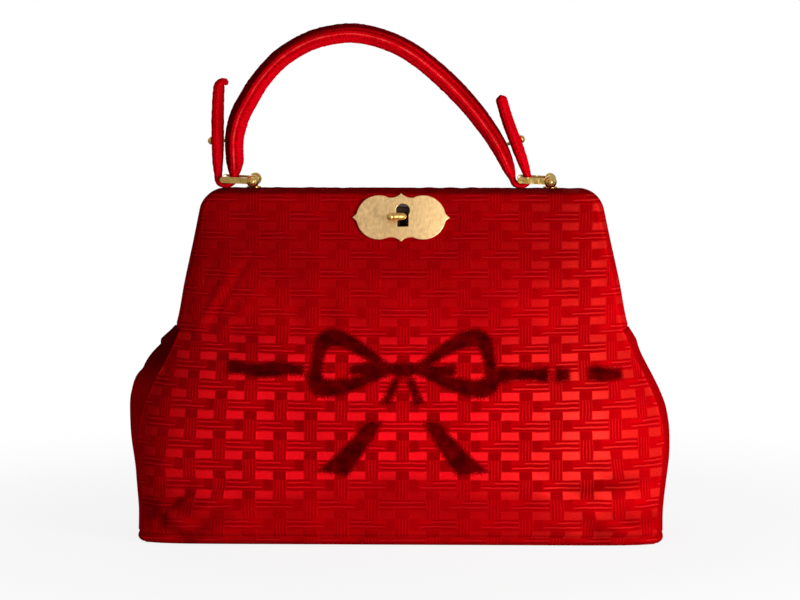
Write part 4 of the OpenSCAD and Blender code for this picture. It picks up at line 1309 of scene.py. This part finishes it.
class HANDBAG_OT_handle(bpy.types.Operator):
    """Makes the padded strap handle with its two layers and the stitched rib along each edge"""

    bl_idname = "handbag.handle"
    bl_label = "Handle"

    def execute(self, context):
        spots, route = even_route(handle_route(), STEP)
        around = 88
        lead = np.gradient(route[:, :2], axis=0)
        lead /= np.hypot(lead[:, 0], lead[:, 1])[:, None]
        last = len(route) - 1

        def place(i, j):
            a = 2 * math.pi * i / around
            x, z, t = route[j]
            end = min(j, last - j) * STEP
            crown = math.sqrt(clamp(1 - (1 - clamp(end / 3)) ** 2)) * 0.92 + 0.08
            u = squarer(math.cos(a)) * t / 2 * crown
            v = squarer(math.sin(a)) * STRAP_W / 2 * (0.82 + 0.18 * crown)
            size = clamp(t / PAD_T + 0.15)
            edge = abs(math.sin(a)) ** 2
            rib = 0.85 * bell(u / 0.75) - 0.85 * bell((abs(u) - EDGE_LINE) / 0.6)
            fuzz = 0.45 * ripple(x / 1.6, v / 1.6, z / 1.6)
            pull = 0.3 * ripple(x / 7, a * 2, z / 7)
            v += math.copysign(edge * rib * size * crown, v)
            u += math.copysign(fuzz + pull * size * 0.6, u)
            px, pz = lead[j]
            return x - pz * u, POST_Y + v, z + px * u

        def tone(i, j):
            a = 2 * math.pi * i / around
            x, z, t = route[j]
            u = squarer(math.cos(a)) * t / 2
            # Painted light: the lower layer is lighter, and the upper one darker
            bright = 0.62 - 0.3 * u / PAD_T
            arch = clamp((t - TAB_T) / 2)
            # Painted shade darkens the upper layer above an edge that rises towards the right
            edge = 0.13 + 0.17 * clamp((x - LEFT_FAR) / SPAN * 1.6)
            dark = clamp((u / PAD_T - edge) * 12) * arch
            # A painted highlight runs along the rib, uneven along its length
            stitch = 0.9 + 0.4 * ripple(x / 6, 0, z / 6)
            line = (0.08 + 0.24 * arch) * stitch * bell(u / 0.45) * abs(math.sin(a))
            # Along the raised edges it is shaded, more so on the upper layer
            groove = (0.6 if u > 0 else 0.25) * arch * bell((abs(u) - EDGE_LINE) / 0.5)
            return clamp(bright * (1 - 0.78 * dark) * (1 - groove) + line)

        bm, by_place = laid_grid(range(around + 1), range(last + 1), place, ("layer",))
        lay_weave(bm, by_place, lambda i, j: (spots[j], i / around * STRAP_GIRTH))
        layer = bm.verts.layers.float["layer"]
        for (i, j), vert in by_place.items():
            vert[layer] = tone(i, j)
        close_tube(bm, lambda edge: edge.verts[0].co.x < LEFT_FAR * MM / 2)
        piece = finish_mesh(bm, "handle_pad", material_of("handle_velvet", plain_velvet))
        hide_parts("handle")
        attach(piece, "handle")
        return {"FINISHED"}


class HANDBAG_OT_fittings(bpy.types.Operator):
    """Finishes the brass and steel: the visible fittings get rounded edges, the inner ones their material"""

    bl_idname = "handbag.fittings"
    bl_label = "Fittings"

    def execute(self, context):
        metal = context.scene.handbag.metal
        brass = material_of("polished_brass", polished_brass, metal)
        plate = material_of("brushed_brass", brushed_brass, metal)
        self.round_off("lock_plate", plate, metal.edge)
        self.round_off("finger_lever", brass, metal.edge, 0.45 * MM)
        for kind, share in (("ring", 3), ("post", 1), ("pin", 1), ("stud", 1), ("rivet", 1)):
            for side in ("left_", "right_"):
                self.round_off(side + kind, brass, metal.edge * share)
        steel = material_of("nickel_plated_steel", plated_steel, metal)
        dark = material_of("keyhole_shade_steel", keyhole_shade_steel)
        for node in ("front_bar", "rear_bar", "keeper"):
            coat(node, steel)
        # Painted shade: the lock's inside is near-black, so that the keyhole reads dark
        for node in ("lock_case", "latch_slide"):
            coat(node, dark)
        self.coil(dark)
        return {"FINISHED"}

    def coil(self, material):
        around, turns, steps = 10, 6, 24
        low, high, behind, radius, wire_r = 166.7, 175.6, -5.9, 1.5, 0.3

        def place(i, j):
            a, b = 2 * math.pi * j / steps, 2 * math.pi * i / around
            out = radius + wire_r * math.cos(b)
            climb = (high - low - 2 * wire_r) * j / (turns * steps)
            z = low + wire_r + climb + wire_r * math.sin(b)
            return LOCK_X + out * math.cos(a), behind + out * math.sin(a), z

        bm, _ = laid_grid(range(around + 1), range(turns * steps + 1), place)
        close_tube(bm, lambda edge: edge.verts[0].co.z < (low + high) / 2 * MM)
        piece = finish_mesh(bm, "latch_coil", material)
        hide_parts("latch_spring")
        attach(piece, "front_frame")
        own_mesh(piece)

    def round_off(self, node, material, edge, grown=0):
        bm = bmesh.new()
        bm.from_mesh(frame["nodes"][node].data)
        bmesh.ops.remove_doubles(bm, verts=bm.verts, dist=2 * MERGE)
        bmesh.ops.dissolve_limit(bm, angle_limit=math.radians(0.5), verts=bm.verts, edges=bm.edges)
        limit = math.radians(42)
        sharp = [e for e in bm.edges if len(e.link_faces) == 2 and e.calc_face_angle(0) > limit]
        bmesh.ops.bevel(
            bm, geom=sharp, offset=edge, offset_type="OFFSET", segments=3, profile=0.5, affect="EDGES",
            clamp_overlap=True, material=-1,
        )
        bm.normal_update()
        for vert in bm.verts if grown else ():
            # Only what stands out in front of the plate is fuller
            vert.co += vert.normal * grown * clamp((-vert.co.y / MM - 18.5) / 1.5)
        piece = finish_mesh(bm, node + "_finish", material, math.radians(38))
        flat = piece.modifiers.new("flat_faces", "WEIGHTED_NORMAL")
        flat.keep_sharp = True
        bodies = frame["record"]["behaviour"]["bodies"]
        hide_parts(node)
        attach(piece, next(body for body, nodes in bodies.items() if node in nodes))


def seen_rays(tree):
    """Light Path's rays that show the background as it is: the camera's and those through glass."""
    ray = add(tree, "ShaderNodeLightPath")
    through = ray.node.outputs["Is Transmission Ray"]
    return ray, add(tree, MATH, (ray, through), operation="MAXIMUM")


def aimed(thing, place, aim):
    """Puts a light or the camera at its place, turned to its aim, and into the scene."""
    thing.location = place
    thing.rotation_euler = (Vector(aim) - Vector(place)).to_track_quat("-Z", "Y").to_euler()
    bpy.context.scene.collection.objects.link(thing)


class HANDBAG_OT_studio(bpy.types.Operator):
    """Makes the floor, the soft lights, the white surround and the camera"""

    bl_idname = "handbag.studio"
    bl_label = "Studio"

    def execute(self, context):
        scene = context.scene
        studio = scene.handbag.studio
        scene.view_settings.view_transform = "Standard"
        self.camera(scene, studio)
        self.floor()
        for name, power, size, place in (
            ("key_light", studio.key, 0.4, (0.55, -0.62, 0.2)),
            ("fill_light", studio.fill, 1.2, (-1.2, -1.5, 0.45)),
            ("overhead_light", studio.overhead, 1.0, (0.1, -0.35, 1.7)),
            ("back_light", studio.back, 1.2, (-0.6, 1.5, 0.5)),
        ):
            data = bpy.data.lights.new(name, "AREA")
            data.energy = power
            data.size = size
            aimed(bpy.data.objects.new(name, data), place, (0, 0, 0.12))
        self.surround(scene, studio)
        return {"FINISHED"}

    def camera(self, scene, studio):
        data = bpy.data.cameras.new("camera")
        data.lens = studio.lens
        data.sensor_width = 36
        data.clip_end = 100
        scene.camera = bpy.data.objects.new("camera", data)
        turn, far = studio.azimuth, studio.distance
        place = (math.sin(turn) * far, -math.cos(turn) * far, studio.height)
        aimed(scene.camera, place, (-0.001, 0, 0.1297))

    def floor(self):
        bm = bmesh.new()
        bmesh.ops.create_grid(bm, x_segments=8, y_segments=8, size=12)
        pale = rgba(linear("#EDEDED"))
        material, tree, shader = new_material("pale_floor", Base_Color=pale, Roughness=0.9)
        _, seen = seen_rays(tree)
        # White to the eye away from the bag, and shaded under it
        far = add(tree, VECTOR, (add(tree, COORDS, out="Object"),), "Value", operation="LENGTH")
        clear = add(tree, MAP, (far, 0.16, 0.5, 0.86, 1), interpolation_type="SMOOTHSTEP")
        white = add(tree, MATH, (seen, clear), operation="MULTIPLY")
        glow = add(tree, "ShaderNodeEmission", {"Color": (1, 1, 1, 1), "Strength": 1.0})
        lit = add(tree, "ShaderNodeMixShader", (white, shader.outputs[0], glow))
        tree.links.new(lit, tree.nodes["Material Output"].inputs["Surface"])
        finish_mesh(bm, "floor", material)

    def surround(self, scene, studio):
        world = bpy.data.worlds.new("surround")
        world.use_nodes = True
        scene.world = world
        tree = world.node_tree
        ray, seen = seen_rays(tree)
        # Metal shows it at half its strength
        shown = add(tree, MATH, (ray.node.outputs["Is Glossy Ray"], 0.5), operation="MULTIPLY")
        seen = add(tree, MATH, (seen, shown), operation="MAXIMUM")
        strength = add(tree, MAP, (seen, 0, 1, studio.ambient, 1))
        back = tree.nodes["Background"]
        back.inputs["Color"].default_value = (1, 1, 1, 1)
        tree.links.new(strength, back.inputs["Strength"])


OPERATORS = (
    HANDBAG_OT_studio,
    HANDBAG_OT_sides,
    HANDBAG_OT_gussets,
    HANDBAG_OT_base,
    HANDBAG_OT_linings,
    HANDBAG_OT_handle,
    HANDBAG_OT_fittings,
)


class HANDBAG_PT_pieces(bpy.types.Panel):
    """Lists the handbag's pieces and settings"""

    bl_idname = "HANDBAG_PT_pieces"
    bl_label = "Velvet handbag"
    bl_space_type = "VIEW_3D"
    bl_region_type = "UI"
    bl_category = "Handbag"

    def draw(self, context):
        settings = context.scene.handbag
        for group in (settings.cloth, settings.metal, settings.studio):
            box = self.layout.box()
            for name in group.__annotations__:
                box.prop(group, name)
        for operator in OPERATORS:
            self.layout.operator(operator.bl_idname)


CLASSES = (HandbagCloth, HandbagMetal, HandbagStudio, HandbagSettings, *OPERATORS, HANDBAG_PT_pieces)


def register():
    """Registers the classes and the scene's settings."""
    for item in CLASSES:
        bpy.utils.register_class(item)
    bpy.types.Scene.handbag = PointerProperty(type=HandbagSettings)


def unregister():
    """Removes the settings and the classes."""
    del bpy.types.Scene.handbag
    for item in reversed(CLASSES):
        bpy.utils.unregister_class(item)


def main():
    """Makes every piece in order."""
    register()
    bpy.ops.handbag.studio()
    bpy.ops.handbag.sides()
    bpy.ops.handbag.gussets()
    bpy.ops.handbag.base()
    bpy.ops.handbag.linings()
    bpy.ops.handbag.handle()
    bpy.ops.handbag.fittings()


if __name__ == "__main__":
    main()
